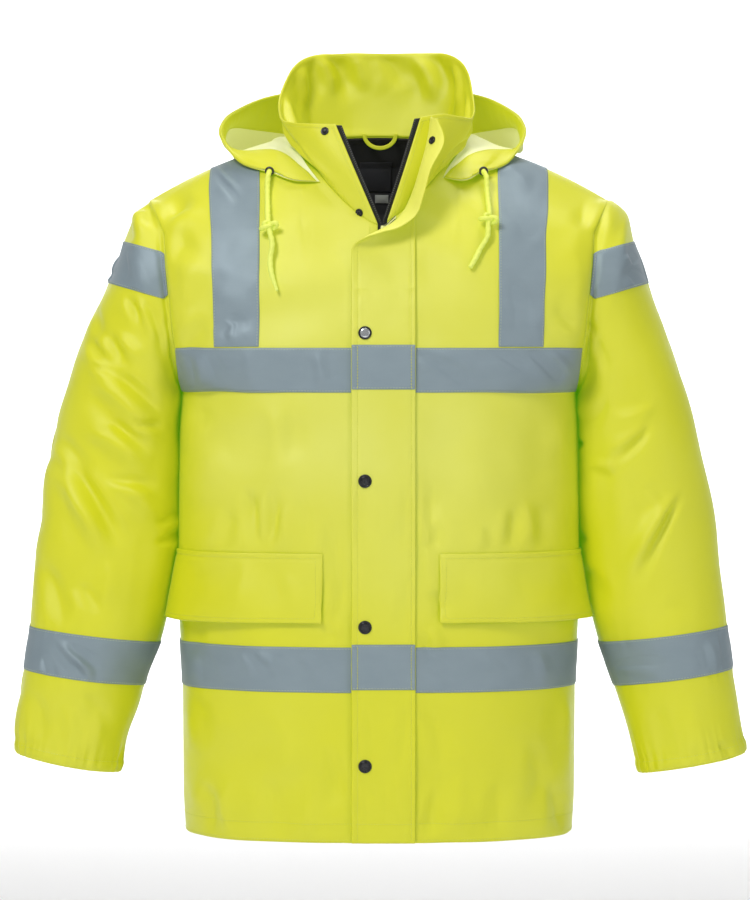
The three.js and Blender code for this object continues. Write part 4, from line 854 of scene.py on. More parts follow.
class Sleeve:
    """One sleeve: rows run from the armhole seam to the cuff, columns run round from its top."""

    COLUMNS = 132
    ROWS = 190

    def __init__(self, name, folds, back_folds, seed):
        self.name, self.side = name, (1 if name == "left" else -1)
        angle = np.arange(self.COLUMNS) * 2 * np.pi / self.COLUMNS
        bend = lambda value: np.sign(value) * np.abs(value) ** (2 / 2.15)
        level = (np.cos(angle) + 1) / 2
        seam_z = UNDERARM_Z + level * (SHOULDER_Z - UNDERARM_Z)
        seam = np.stack([self.side * (half_width(seam_z) + GAP), -ARMHOLE_REACH * np.sin(angle), seam_z], axis=-1)
        column = {key: np.array(value, float)[:, None] for key, value in SLEEVE.items()}
        outer = self.side * column["left_outer" if self.side > 0 else "outer"]
        inner = self.side * column["inner"]
        ring = np.arange(13)[:, None]
        fold = sum(depth * np.exp(-((ring - along) / reach) ** 2
                                  - (((np.degrees(angle) - around + 540) % 360 - 180) / spread) ** 2)
                   for along, around, reach, spread, depth in SLEEVE_TROUGHS[name])
        shrink = 1 - fold / column["depth"]
        x = (outer + inner) / 2 + (outer - inner) / 2 * bend(np.cos(angle)) * shrink
        z = (column["outer_z"] + column["inner_z"]) / 2 + (column["outer_z"] - column["inner_z"]) / 2 * bend(np.cos(angle)) * shrink
        y = column["y"] - column["depth"] * bend(np.sin(angle)) * shrink
        rings = np.concatenate([seam[None], np.stack([x, y, z], axis=-1)])
        self.places = np.linspace(0, 13, self.ROWS)
        grid = cubic(rings, self.places)
        normals = normals_of(grid, True, self.side)
        front = ease(np.sin(angle), -0.1, 0.35)[None, :]
        rear = ease(-np.sin(angle), -0.1, 0.35)[None, :]
        u, v = grid[..., 0], grid[..., 2]
        along = np.linalg.norm(np.diff(grid, axis=0), axis=-1).cumsum(axis=0)
        run = np.concatenate([np.zeros((1, self.COLUMNS)), along])
        to_cuff = run[-1] - run
        around = angle[None, :] * 78
        out = 1.7 * (creases(u, v, folds) * front + creases(u, v, back_folds) * rear)
        out += unevenness(around * 0.8, v, 3.2, seed) 
        out -= 3.2 * np.exp(-((run - 5) / 3.5) ** 2) * (1 - ease(np.cos(angle), 0.45, 0.85))[None, :]
        near_body = np.interp(v, [-640, -590, -540, -500, -440, -360, -310, -265], [0, 1.5, 3.8, 5.4, 5.2, 4.4, 3.6, 0])
        out += near_body * ease(-np.cos(angle), 0.55, 0.9)[None, :]
        out += puckers(around, to_cuff - 12, 13, 2.2, 14, seed) - 0.9 * np.exp(-((to_cuff - 15) / 2.4) ** 2)
        out += 1.2 * np.exp(-((to_cuff - 7) / 7) ** 2)
        out += puckers(around, run - 6, 21, 0.9, 10, seed + 2)
        for edge in (10, 11):
            out += puckers(around, (self.places[:, None] - edge) * 40, 19, 0.5, 7, seed + edge)
        hold = ease(run, 0, 4)
        self.grid = grid + normals * (out * hold)[..., None]
        self.normals = normals_of(self.grid, True, self.side)

    def row(self, place):
        return np.interp(place, self.places, np.arange(self.ROWS))


def slanted_rows(sleeve, middle, slant, shares):
    """Fractional rows where each column of a sleeve crosses planes beside a slanted one.

    The planes lie between half a tape's width below it and half above, or the seam where that is lower.
    """
    across = (sleeve.grid[..., 0] - middle[0]) * np.sin(slant) + (sleeve.grid[..., 2] - middle[2]) * np.cos(slant)
    half = TAPE_WIDTH / 2
    top = np.minimum(half, across[0] - 0.5)
    column = np.arange(sleeve.COLUMNS)
    rows = []
    for share in shares:
        offset = top + (-half - top) * share
        above = np.clip((across > offset).sum(axis=0) - 1, 0, sleeve.ROWS - 2)
        here, after = across[above, column], across[above + 1, column]
        rows.append(np.clip(above + (here - offset) / (here - after), 0, sleeve.ROWS - 1))
    return np.array(rows), across[0]


UPPER_BAND = {"x": 268, "z": -160, "slant": 0.28}
SLEEVE_TAPE_FOLDS = {
    "right_sleeve_upper_tape": [(-300, -128, -290, -170, 7, -2.0, 2), (-310, -160, -296, -182, 5, -1.6, 1),
                                (-284, -140, -272, -190, 9, 1.6, 2)],
    "right_sleeve_lower_tape": [(-378, -598, -372, -628, 5, -2.6, 1), (-366, -580, -326, -620, 6, 2.2, 2),
                                (-352, -586, -318, -608, 5, -2.4, 2), (-342, -600, -322, -624, 5, 1.8, 1)],
    "left_sleeve_upper_tape": [(284, -140, 292, -152, 4, -2.2, 0), (282, -162, 300, -178, 7, -1.8, 2)],
    "left_sleeve_lower_tape": [(270, -610, 322, -604, 5, -1.8, 2), (372, -580, 384, -616, 6, 1.6, 1),
                               (390, -572, 396, -604, 5, -1.4, 1)],
}
BAND_FOLDS.update(SLEEVE_TAPE_FOLDS)
sleeves = {
    "right": Sleeve("right", RIGHT_SLEEVE_FOLDS, mirrored(LEFT_SLEEVE_FOLDS), 21),
    "left": Sleeve("left", LEFT_SLEEVE_FOLDS, mirrored(RIGHT_SLEEVE_FOLDS), 27),
}
for name, sleeve in sleeves.items():
    piece = shell(f"{name}_sleeve_cloth", sleeve.grid, sleeve.normals, CLOTH, [YELLOW, LINING], wraps=True)
    finish_piece(piece, [f"{name}_sleeve"])
    declare(sleeve.grid, wraps=True)
    round_columns = np.linspace(0, sleeve.COLUMNS, 500)
    for row in (sleeve.ROWS - 2.0, sleeve.row(13 - 15 / 48)):
        yellow_sewing.line(sleeve.grid, sleeve.normals, np.full(500, row), round_columns, wraps=True)
    rows = sleeve.row(np.linspace(10, 11, 48))[:, None]
    columns = np.arange(0, sleeve.COLUMNS, 0.5)[None, :]
    normals = unit(sample(sleeve.normals, rows, columns, True))
    band = sample(sleeve.grid, rows, columns, True) + normals * (TAPE_OFF + TAPE_THICK)
    tape(f"{name}_sleeve_lower_tape", band, normals, wraps=True)
    rows, at_seam = slanted_rows(sleeve, (sleeve.side * UPPER_BAND["x"], 0, UPPER_BAND["z"]),
                                 -sleeve.side * UPPER_BAND["slant"], np.linspace(0, 1, 48))
    reach = int(np.argmax(at_seam < 4 - TAPE_WIDTH / 2))
    columns = np.arange(-reach + 1, reach - 0.9, 0.5)
    low, over = np.floor(columns).astype(int), columns - np.floor(columns)
    rows = rows[:, low % sleeve.COLUMNS] * (1 - over) + rows[:, (low + 1) % sleeve.COLUMNS] * over
    columns = np.broadcast_to(columns[None, :], rows.shape)
    normals = unit(sample(sleeve.normals, rows, columns, True))
    band = sample(sleeve.grid, rows, columns, True) + normals * (TAPE_OFF + TAPE_THICK)
    tape(f"{name}_sleeve_upper_tape", band, normals)


# Collar: from the neckline up to its rim

RIM = {"share": [0, 0.12, 0.24, 0.34, 0.44, 0.56, 0.68, 0.8, 0.9, 1],
       "right": [0, 45, 80, 99, 111, 116, 112, 98, 76, 50], "left": [0, 45, 78, 97, 106, 110, 108, 92, 72, 48],
       "y": [94, 93, 80, 54, 24, -8, -42, -72, -92, -106],
       "right_z": [95, 95, 91, 77, 52, 26, 11, 5, 3, 2], "left_z": [95, 95, 94, 82, 57, 30, 13, 12, 14, 10]}
COLLAR_FOLDS = [
    (-70, 110, -46, 60, 8, -2.6, 4), (-52, 112, -30, 48, 10, 2.4, 5), (-28, 112, -16, 62, 7, -2.0, 3),
    (6, 112, 26, 66, 9, 2.0, 4), (34, 112, 66, 48, 9, -2.8, 5), (60, 112, 84, 56, 10, 2.2, 5),
    (96, 106, 118, 40, 9, -2.4, 5), (-104, 104, -92, 44, 10, -2.0, 5), (-150, 90, -170, 20, 12, -2.4, 6),
    (-190, 80, -230, 24, 13, 2.6, 6), (-244, 74, -268, 18, 10, -2.2, 5), (-210, 40, -250, 6, 9, -1.8, 4),
    (150, 86, 178, 24, 12, -2.2, 6), (196, 80, 226, 20, 12, 2.4, 6), (214, 60, 262, 8, 9, -2.0, 5)]


def neckline(panel, reverse):
    """The panel's own top edge within the neck, raised by the seam's gap."""
    edge = panel.grid[-1]
    edge = edge[np.abs(edge[:, 0]) < NECK_HALF + 0.6] + [0, 0, GAP]
    return edge[::-1] if reverse else edge


around = np.concatenate([neckline(right, True), neckline(back, False)[1:-1], neckline(left, True)])
steps = np.linalg.norm(np.diff(around, axis=0), axis=1)
runs = np.concatenate([[0], np.cumsum(steps)])
COLLAR_COLUMNS, COLLAR_ROWS = 220, 44
even = np.linspace(0, runs[-1], COLLAR_COLUMNS)
around = np.stack([np.interp(even, runs, around[:, k]) for k in range(3)], axis=1)
signed = 2 * even / runs[-1] - 1


def rim_value(key, share):
    """A rim column at shares round the neck, on cubics through the table's rows."""
    places = np.interp(share, RIM["share"], np.arange(10))
    return cubic(np.array(RIM[key], float), places)


share = np.abs(signed)
rim = np.stack([np.where(signed > 0, rim_value("left", share), -rim_value("right", share)), rim_value("y", share),
                np.where(signed > 0, rim_value("left_z", share), rim_value("right_z", share))], axis=-1)
up = np.linspace(0, 1, COLLAR_ROWS)[:, None]
outward = unit(np.stack([around[:, 0], around[:, 1], np.zeros(COLLAR_COLUMNS)], axis=-1))
collar_base = around[None] * (1 - up[..., None]) + rim[None] * up[..., None]
collar_base = collar_base + outward[None] * (20 * up * (1 - up))[..., None]
collar_normals = normals_of(collar_base, sign=-1)
u, v = np.broadcast_arrays(signed[None, :] * runs[-1] / 2, up * 112)
out = 1.9 * creases(u, v, COLLAR_FOLDS) + unevenness(u, v, 2.0, 12) + puckers(u, v - 5, 16, 0.7, 9, 14)
out = out - 0.7 * np.exp(-((v - 108) / 1.6) ** 2)
out = out * ease(up, 0, 0.1) * ease(1 - share[None, :], -0.01, 0.05)
collar_grid = collar_base + collar_normals * out[..., None]
collar_normals = normals_of(collar_grid, sign=-1)
piece = shell("collar_cloth", collar_grid, collar_normals, 2.2, [YELLOW])
finish_piece(piece, ["collar"])
declare(collar_grid)
for row in (COLLAR_ROWS - 2.6,):
    yellow_sewing.line(collar_grid, collar_normals, np.full(500, row), np.linspace(1, COLLAR_COLUMNS - 2, 500))
for column in (2.2, COLLAR_COLUMNS - 3.2):
    yellow_sewing.line(collar_grid, collar_normals, np.linspace(1, COLLAR_ROWS - 2, 120), np.full(120, column))


def on_collar(place, height, off):
    """A point of the collar's outer face: signed share round the neck, share up, and off it."""
    column = np.interp(place, signed, np.arange(COLLAR_COLUMNS))
    row = height * (COLLAR_ROWS - 1)
    return sample(collar_base, row, column) + unit(sample(collar_normals, row, column)) * off


# Curves through knots, as three.js draws them

def centripetal(knots, shares):
    """Points at shares of a curve through knots, whose tangents heed the square roots of their gaps."""
    knots = np.concatenate([[2 * knots[0] - knots[1]], knots, [2 * knots[-1] - knots[-2]]])
    count = len(knots) - 3
    places = np.asarray(shares) * count
    low = np.clip(np.floor(places).astype(int), 0, count - 1)
    t = (places - low).reshape(-1, *([1] * (knots.ndim - 1)))
    a, b, c, d = (knots[low + step] for step in range(4))
    gap = lambda p, q: np.maximum(np.linalg.norm(q - p, axis=-1, keepdims=True), 1e-6) ** 0.5
    first, second, third = gap(a, b), gap(b, c), gap(c, d)
    start = ((b - a) / first - (c - a) / (first + second) + (c - b) / second) * second
    end = ((c - b) / second - (d - b) / (second + third) + (d - c) / third) * second
    return b + start * t + (-3 * b + 3 * c - 2 * start - end) * t ** 2 + (2 * b - 2 * c + start + end) * t ** 3


# Hood, rolled down: from the neck down into its sac and out to its rim

HOOD = {
    "neck": [0, 0.2, 0.34, 0.43, 0.51, 0.59, 0.67, 0.74],
    "near": [(0, 130, -60), (64, 124, -58), (103, 95, -26), (116, 45, -9), (117, 6, -10), (115, -26, -17),
             (107, -60, -31), (94, -92, -61)],
    "low": [(0, 174, -205), (84, 174, -188), (134, 146, -112), (148, 87, -38), (148, 24, -22), (143, -14, -21),
            (126, -55, -33), (104, -89, -58.5)],
    "far": [(0, 208, -90), (98, 202, -80), (157, 150, -50), (174, 86, -20), (176, 22, -20), (171, -14, -25),
            (145, -52, -36), (112, -85, -55.5)],
    "rim": [(0, 146, 56), (80, 132, 55), (130, 98, 46), (164, 52, 29), (180, 12, 13), (182, -18, -8),
            (157, -54, -39), (119, -81, -52)],
}
HOOD_NECK_UP = [0.183] * 6 + [0.12, 0.01]  # share up the collar where the hood starts, column by column
HOOD_NECK_OFF = 6.5
HOOD_HALF, HOOD_ROWS, HOOD_THICK = 90, 110, 1.3
HOOD_FOLDS = [
    (-120, 40, -60, 210, 16, -4.0, 8), (-60, 30, -20, 200, 18, 3.4, 8), (40, 40, 20, 210, 16, -3.6, 8),
    (90, 30, 130, 200, 18, -4.2, 10), (-200, 60, -190, 160, 12, -2.6, 6), (200, 60, 186, 170, 12, -2.8, 6),
    (-20, 230, 60, 250, 14, 3.0, 6), (-150, 200, -80, 260, 14, -3.2, 6), (110, 210, 170, 262, 14, 2.8, 6)]


def hood_side(side, count):
    """Columns of half the hood, from the middle of the back to its front end."""
    scale = 0.85 if side > 0 else 1
    knots = []
    for key in ("near", "low", "far", "rim"):
        points = np.array(HOOD[key], float)
        if key in ("far", "rim"):
            points[:, 0] = NECK_HALF + (points[:, 0] - NECK_HALF) * np.where(points[:, 0] > NECK_HALF, scale, 1)
        knots.append(points * [side, 1, 1])
    neck = np.stack([on_collar(side * share, up, HOOD_NECK_OFF) for share, up in zip(HOOD["neck"], HOOD_NECK_UP)])
    sections = np.stack([neck, *knots])
    before = sections[:, 1:2] * [-1, 1, 1]
    sections = np.concatenate([before, sections], axis=1)
    return np.swapaxes(cubic(np.swapaxes(sections, 0, 1), 1 + np.linspace(0, 7, count)), 0, 1)


right_half = hood_side(-1, HOOD_HALF)
left_half = hood_side(1, HOOD_HALF)
sections = np.concatenate([right_half[:, ::-1], left_half[:, 1:]], axis=1)
hood_grid = centripetal(sections, np.linspace(0, 1, HOOD_ROWS))
hood_normals = normals_of(hood_grid, sign=-1)
run_across = np.concatenate([[0], np.linalg.norm(np.diff(hood_grid[HOOD_ROWS // 2], axis=0), axis=-1).cumsum()])
u = np.broadcast_to(run_across - run_across[HOOD_HALF - 1], hood_grid.shape[:2])
v = np.linspace(0, 330, HOOD_ROWS)[:, None] + 0 * u
end = np.minimum(np.arange(u.shape[1]), u.shape[1] - 1 - np.arange(u.shape[1]))[None, :]
hold = ease(v, 0, 40) * (1 - ease(v, 240, 300)) * ease(end, 4, 30)
out = (1.3 * creases(u, v, HOOD_FOLDS) + unevenness(u, v, 3.6, 31)) * hold
hood_grid = hood_grid + hood_normals * out[..., None]
hood_normals = normals_of(hood_grid, sign=-1)
piece = shell("hood_cloth", hood_grid, hood_normals, HOOD_THICK, [YELLOW, PALE])
finish_piece(piece, ["hood"])
declare(hood_grid)

facing_columns = np.arange(hood_grid.shape[1])[None, :]
toward_end = np.abs(facing_columns - (HOOD_HALF - 1)) / (HOOD_HALF - 1)
starts = np.interp(toward_end, [0, 0.5, 0.64, 0.72, 0.8, 0.87, 0.93, 1], [8.2, 8.1, 7.4, 6, 3.8, 1.6, 0.5, 0.3]) * (HOOD_ROWS - 1) / 9
facing_rows = starts + (HOOD_ROWS - 1 - starts) * np.linspace(0, 1, 30)[:, None]
facing_normals = -unit(sample(hood_normals, facing_rows, facing_columns))
across = np.linspace(0, 1, 30)[:, None]
run = run_across[None, :]
puff = 2.2 * np.sin(np.pi * across) ** 0.8 + puckers(run, (across - 0.5) * 40, 13, 0.6, 14, 41)
puff = puff * (0.55 + 0.45 * ease(end, 2, 20))
facing_grid = sample(hood_grid, facing_rows, facing_columns)
facing_grid = facing_grid + facing_normals * (HOOD_THICK + GAP + 1.1 + np.maximum(puff, 0))[..., None]
facing_fresh = normals_of(facing_grid, sign=1)
piece = shell("hood_facing_cloth", facing_grid, facing_fresh, 1.1, [YELLOW])
finish_piece(piece, ["hood_facing"])
declare(facing_grid)
for row in (1.6, 27.4):
    yellow_sewing.line(facing_grid, facing_fresh, np.full(700, row), np.linspace(1, hood_grid.shape[1] - 2, 700))


# Storm flap: flat down the front, turned out of its way beside the collar

FLAP_OFF = GAP + 1.8 + 2
FLAP_OPENING = [  # height, then the free edge and the leaning point, both beside the seam
    (-150, (-70, -4, -1), (-36, 0, 0)), (-131, (-68, -12, -5), (-40, 0, 0)), (-116, (-55, -22, -11), (-38, -1, 0)),
    (-103, (-34, -28, -17), (-28, -3, -4)), (-91, (-17, -33, -24), (-20, -8, -7))]
FLAP_ON_COLLAR = [  # share up the collar instead of the height
    (0.07, (0, -37, -22), (-16, -15, -7)), (0.22, (4, -39, -13), (-13, -20, -3)),
    (0.44, (7, -38, -5), (-10, -22, 0)), (0.72, (16, -34, -3), (-7, -20, 0)), (0.97, (5, -28, -3), (-5, -16, 0))]
FLAP_FOLDS = [
    (-20, -150, 30, -176, 9, -1.4, 3), (-24, -176, 10, -214, 12, 1.0, 4), (-26, -398, -22, -470, 6, -1.3, 3),
    (-6, -400, 2, -490, 10, 1.0, 4), (30, -400, 26, -470, 7, -1.2, 2), (-24, -480, -20, -560, 8, 0.9, 3),
    (32, -500, 24, -570, 8, -1.1, 2), (-18, -640, -8, -716, 10, -1.1, 4), (30, -640, 22, -720, 8, -1.2, 3),
    (-22, -724, -14, -796, 9, -1.3, 3), (14, -716, 24, -796, 10, 1.1, 3)]
FLAP_COLUMNS = 46


def flap_row(seam, edge, lean):
    """A row from the seam, bent over the leaning point, to the free edge: a quadratic Bezier curve."""
    t = np.linspace(0, 1, FLAP_COLUMNS)[:, None]
    middle, end = seam + np.array(lean, float), seam + np.array(edge, float)
    return seam * (1 - t) ** 2 + middle * 2 * t * (1 - t) + end * t ** 2


def on_fronts(x, z):
    """A point of the flat flap's outer face."""
    x, z = np.broadcast_arrays(np.asarray(x, float), np.asarray(z, float))
    return np.stack([x, body_y(x, z, False) - FLAP_OFF, z], axis=-1)


flat_z = np.concatenate([np.arange(-800, -180, 7.0), [-180]])
rows = list(on_fronts(np.linspace(FLAP_SEAM_X, FLAP_EDGE_X, FLAP_COLUMNS)[None, :], flat_z[:, None]))
rows += [flap_row(on_fronts(FLAP_SEAM_X, z), edge, lean) for z, edge, lean in FLAP_OPENING]
flat_count = len(flat_z)
for up, edge, lean in FLAP_ON_COLLAR:
    rows.append(flap_row(on_collar(0.885 + 0.06 * up, up, GAP + 2.6), edge, lean))
flap_coarse = np.array(rows)
places = np.concatenate([np.linspace(0, flat_count - 1, 180), np.linspace(flat_count - 1, len(rows) - 1, 90)[1:]])
flap_grid = cubic(flap_coarse, places)
flap_normals = normals_of(flap_grid, sign=-1)
across = np.linspace(FLAP_SEAM_X, FLAP_EDGE_X, FLAP_COLUMNS)[None, :]
height = np.interp(places, [0, flat_count - 1, len(rows) - 1], [-800, -180, -10])[:, None]
out = creases(across, height, FLAP_FOLDS) + 0.8 * unevenness(across, height, 1.6, 51)
out += puckers(height, across - 36, 24, 0.5, 5, 53) + puckers(height, across + 24, 30, 0.6, 5, 54)
out -= 0.7 * np.exp(-((across + 23.5) / 1.4) ** 2) + 0.6 * np.exp(-((across - 35.5) / 1.2) ** 2)
flat = 1 - ease(height, -190, -150)
out = out * (0.35 + 0.65 * flat)
flap_grid = flap_grid + flap_normals * out[..., None]
flap_normals = normals_of(flap_grid, sign=-1)
piece = shell("storm_flap_cloth", flap_grid, flap_normals, 1.7, [YELLOW, YELLOW_INSIDE])
finish_piece(piece, ["storm_flap"])
declare(flap_grid)
flap_z = flap_grid[:, 0, 2]
flap_rows = np.arange(len(flap_z))
flap_row_at = lambda z: np.interp(z, flap_z[:180], flap_rows[:180])
flap_column_at = lambda x: np.interp(x, [FLAP_EDGE_X, FLAP_SEAM_X], [FLAP_COLUMNS - 1, 0])
for x, low, high in ((36, 1, len(flap_z) - 3), (-23.8, 1, len(flap_z) - 3)):
    steps = np.linspace(low, high, 900)
    yellow_sewing.line(flap_grid, flap_normals, steps, np.full(900, flap_column_at(x)))
for row in (flap_row_at(-779), len(flap_z) - 2.6):
    yellow_sewing.line(flap_grid, flap_normals, np.full(80, row), np.linspace(1.5, FLAP_COLUMNS - 2.5, 80))
for name, bottom, top in (("flap_chest_tape", UNDERARM_Z, CHEST_TAPE_TOP),
                          ("flap_lower_tape", LOWER_TAPE_TOP - TAPE_WIDTH, LOWER_TAPE_TOP)):
    rows = flap_row_at(np.linspace(bottom + 3.5, top + 3.5, 40))[:, None]
    columns = np.linspace(FLAP_COLUMNS - 1, 0, 40)[None, :]
    normals = unit(sample(flap_normals, rows, columns))
    patch, _ = tape(name, sample(flap_grid, rows, columns) + normals * (TAPE_OFF + TAPE_THICK), normals)
    for column in (6.2 / 70 * 39, 66 / 70 * 39):
        yellow_sewing.line(patch, normals, np.linspace(0.4, 38.6, 60), np.full(60, column), lift=0.3)


# Zip: tape sides behind the front edges, and the teeth

ZIP_BEHIND, ZIP_OUT, ZIP_SET = 6, 5.7, 3.7
zip_teeth = Sewing()
TOOTH_SHAPE = STITCH * [0.95 / 2.5, 2.0 / 0.75, 1.1 / 0.6]


def zip_side(name, panel, column, collar_column, side):
    """A tape from 6 mm behind an edge to 5.7 mm past it, set back by its depth; its edge carries teeth."""
    nearer = 1 if collar_column == 0 else collar_column - 1
    edges = np.concatenate([panel.grid[:-1, column], collar_grid[1:, collar_column]])
    normals = unit(np.concatenate([panel.normals[:-1, column], collar_normals[1:, collar_column]]))
    beside = unit(collar_grid[1:, collar_column] - collar_grid[1:, nearer])
    toward = np.concatenate([np.broadcast_to([-side, 0, 0], (len(panel.grid) - 1, 3)), beside])
    steps = np.concatenate([[0], np.linalg.norm(np.diff(edges, axis=0), axis=1).cumsum()])
    even = np.linspace(3, steps[-1] - 0.5, 420)
    pick = lambda values: np.stack([np.interp(even, steps, values[:, k]) for k in range(3)], axis=1)
    edges, normals, toward = pick(edges), unit(pick(normals)), pick(toward)
    late = ease(np.linspace(0, 1, 420), 0.82, 0.88)[:, None]
    middle = edges - normals * (ZIP_SET + 1.6 * late)
    reach = np.linspace(-ZIP_BEHIND, ZIP_OUT, 10)
    grid = middle[:, None] + toward[:, None] * reach[None, :, None]
    full = np.broadcast_to(normals[:, None], grid.shape)
    if side > 0:
        grid = grid[:, ::-1]
    piece = shell(f"{name}_zip_tape_strip", grid, full, 0.9, [ZIP_CLOTH])
    finish_piece(piece, [f"{name}_zip_tape"])
    declare(grid)
    row_edge = middle + toward * (ZIP_OUT - 1.0) + normals * 0.5
    runs = np.concatenate([[0], np.linalg.norm(np.diff(row_edge, axis=0), axis=1).cumsum()])
    starts = np.arange(4 + (1.25 if side > 0 else 0), runs[-1] - 1, 2.5)
    points = np.stack([np.interp(starts, runs, row_edge[:, k]) for k in range(3)], axis=1)
    ahead = np.stack([np.interp(starts + 0.5, runs, row_edge[:, k]) for k in range(3)], axis=1)
    outs = unit(np.stack([np.interp(starts, runs, normals[:, k]) for k in range(3)], axis=1))
    zip_teeth.add(*copies(TOOTH_SHAPE, STITCH_FACES, points, unit(ahead - points), outs))


zip_side("right", right, len(right.shares) - 1, 0, -1)
zip_side("left", left, 0, COLLAR_COLUMNS - 1, 1)


# Round and rounded small parts

def loft(name, rings, paints, split=None):
    """Closed rings of points joined to each other, with a fan of triangles to the middle of each end."""
    count, around_ring = rings.shape[:2]
    vertices = np.concatenate([rings.reshape(-1, 3), rings[0].mean(axis=0)[None], rings[-1].mean(axis=0)[None]])
    quads = quads_of(count, around_ring, wraps=True)
    here = np.arange(around_ring)
    after = (here + 1) % around_ring
    first, last = count * around_ring, count * around_ring + 1
    high = (count - 1) * around_ring
    fans = np.concatenate([np.stack([after, here, np.full(around_ring, first)], axis=-1),
                           np.stack([high + here, high + after, np.full(around_ring, last)], axis=-1)])
    a, b, c, d = (vertices[quads[:, k]] for k in range(4))
    if np.sum(np.cross(a, b) * c + np.cross(a, c) * d) < 0:
        quads, fans = quads[:, ::-1], fans[:, ::-1]
    slots = None
    if split is not None:
        slots = np.concatenate([np.repeat(np.arange(count - 1) >= split, around_ring),
                                np.repeat([0, 1], around_ring)]).astype(int)
    return mesh_of(name, vertices, quads, paints, slots, fans)


def basis(outward):
    """Three unit directions, the last of them outward."""
    outward = unit(np.asarray(outward, float))
    side = unit(np.cross(outward, [0.0, 0.31, 0.95]))
    return side, np.cross(outward, side), outward


def turned(point, outward, profile, segments=40, rounds=4):
    """Rings of a profile of radii and heights, turned about the outward direction from a point."""
    profile = cubic(np.array(profile, float), np.linspace(0, len(profile) - 1, (len(profile) - 1) * rounds + 1))
    angle = np.arange(segments) * 2 * np.pi / segments
    side, up, out = basis(outward)
    radius, rise = np.maximum(profile[:, 0], 0.02)[:, None, None], profile[:, 1][:, None, None]
    return point + radius * (np.cos(angle)[None, :, None] * side + np.sin(angle)[None, :, None] * up) + rise * out


def tube(path, radii, segments=16, flat=1.0, twist=0.0, lobes=0.0):
    """Rings along a path, in a frame carried along it.

    The radius follows the given radii, times 1 plus the lobes' share of a cosine that turns with the twist.
    """
    ahead = unit(np.gradient(path, axis=0))
    steps = np.concatenate([[0], np.linalg.norm(np.diff(path, axis=0), axis=1).cumsum()])
    side = np.zeros_like(path)
    side[0] = unit(np.cross(ahead[0], [0.0, 1.0, 0.2]))
    for k in range(1, len(path)):
        side[k] = unit(side[k - 1] - ahead[k] * np.dot(side[k - 1], ahead[k]))
    up = np.cross(ahead, side)
    angle = np.arange(segments) * 2 * np.pi / segments
    wave = 1 + lobes * np.cos(2 * (angle[None, :] - twist * steps[:, None]))
    reach = (np.asarray(radii)[:, None] * wave)[..., None]
    return path[:, None] + reach * (np.cos(angle)[None, :, None] * side[:, None]
                                    + flat * np.sin(angle)[None, :, None] * up[:, None])


def round_ends(radii, path, length):
    """Radii that shrink at both ends of a path as a quarter circle does."""
    runs = np.concatenate([[0], np.linalg.norm(np.diff(path, axis=0), axis=1).cumsum()])
    near = np.clip(np.minimum(runs, runs[-1] - runs) / length, 0, 1)
    return radii * np.sqrt(np.maximum(1 - (1 - near) ** 2, 0.0016))


CAP_PROFILE = [(0.1, 0), (4, 0), (7.0, 0), (7.5, 0.45), (7.4, 0.95), (6.9, 1.3), (6.2, 1.35), (5.7, 1.15),
               (5.4, 1.3), (5.1, 1.75), (4.2, 2.05), (2.4, 2.2), (0.1, 2.2)]
STUD_PROFILE = [(0.1, 0), (3, 0), (4.5, 0), (4.7, 0.4), (4.5, 0.9), (3.9, 1.15), (3.1, 1.0), (2.5, 1.2), (1.9, 1.6),
                (1.8, 2.1), (2.1, 2.5), (1.9, 2.9), (1.1, 3.0), (0.1, 3.0)]
SOCKET_PROFILE = [(0.1, 0), (3, 0), (4.5, 0), (4.7, 0.6), (4.5, 1.3), (3.9, 1.7), (3.2, 1.6), (2.6, 1.3), (2.2, 0.8),
                  (1.4, 0.6), (0.1, 0.6)]
EYELET_PROFILE = [(2.9, -0.6), (3.9, -0.8), (5.1, -0.5), (5.3, 0.2), (4.9, 0.9), (4.2, 1.2), (3.4, 1.1), (2.9, 0.6)]

for index, z in enumerate((-232, -396.5, -559, -714), 1):
    place = (flap_row_at(z), flap_column_at(-15.5))
    point, out = sample(flap_grid, *place), unit(sample(flap_normals, *place))
    rings = turned(point + out * 0.15, out, CAP_PROFILE)
    paints = [BLACK_METAL, BRIGHT_METAL] if index == 1 else [BLACK_METAL]
    piece = loft(f"flap_cap_{index}", rings, paints, 30 if index == 1 else None)
    finish_piece(piece, [f"flap_stud_{index}"])
for index, (place, up) in enumerate(((-0.943, 0.925), (-0.931, 0.02)), 1):
    column, row = np.interp(place, signed, np.arange(COLLAR_COLUMNS)), up * (COLLAR_ROWS - 1)
    point, out = sample(collar_grid, row, column), unit(sample(collar_normals, row, column))
    piece = loft(f"collar_post_{index}", turned(point + out * 0.1, out, STUD_PROFILE), [BLACK_METAL])
    finish_piece(piece, [f"collar_stud_{index}"])
place = (np.interp(len(flap_coarse) - 2, places, np.arange(len(places))), 0.66 * (FLAP_COLUMNS - 1))
out = -unit(sample(flap_normals, *place))
piece = loft("flap_socket_ring", turned(sample(flap_grid, *place) + out * 1.8, out, SOCKET_PROFILE), [BLACK_METAL])
finish_piece(piece, ["flap_socket"])


# Slider and pull tab, in the slider's own leaning frame

lean = 0.46
slider_spot = np.array([ZIP_X, float(body_y(np.array(4.0), np.array(-113.0), False)), -113])


def leaned(points):
    """Points of the slider's frame, turned about X by its lean and moved to its place."""
    x, y, z = points[..., 0], points[..., 1], points[..., 2]
    turned_y = y * np.cos(lean) + z * np.sin(lean)
    turned_z = -y * np.sin(lean) + z * np.cos(lean)
    return np.stack([x, turned_y, turned_z], axis=-1) + slider_spot


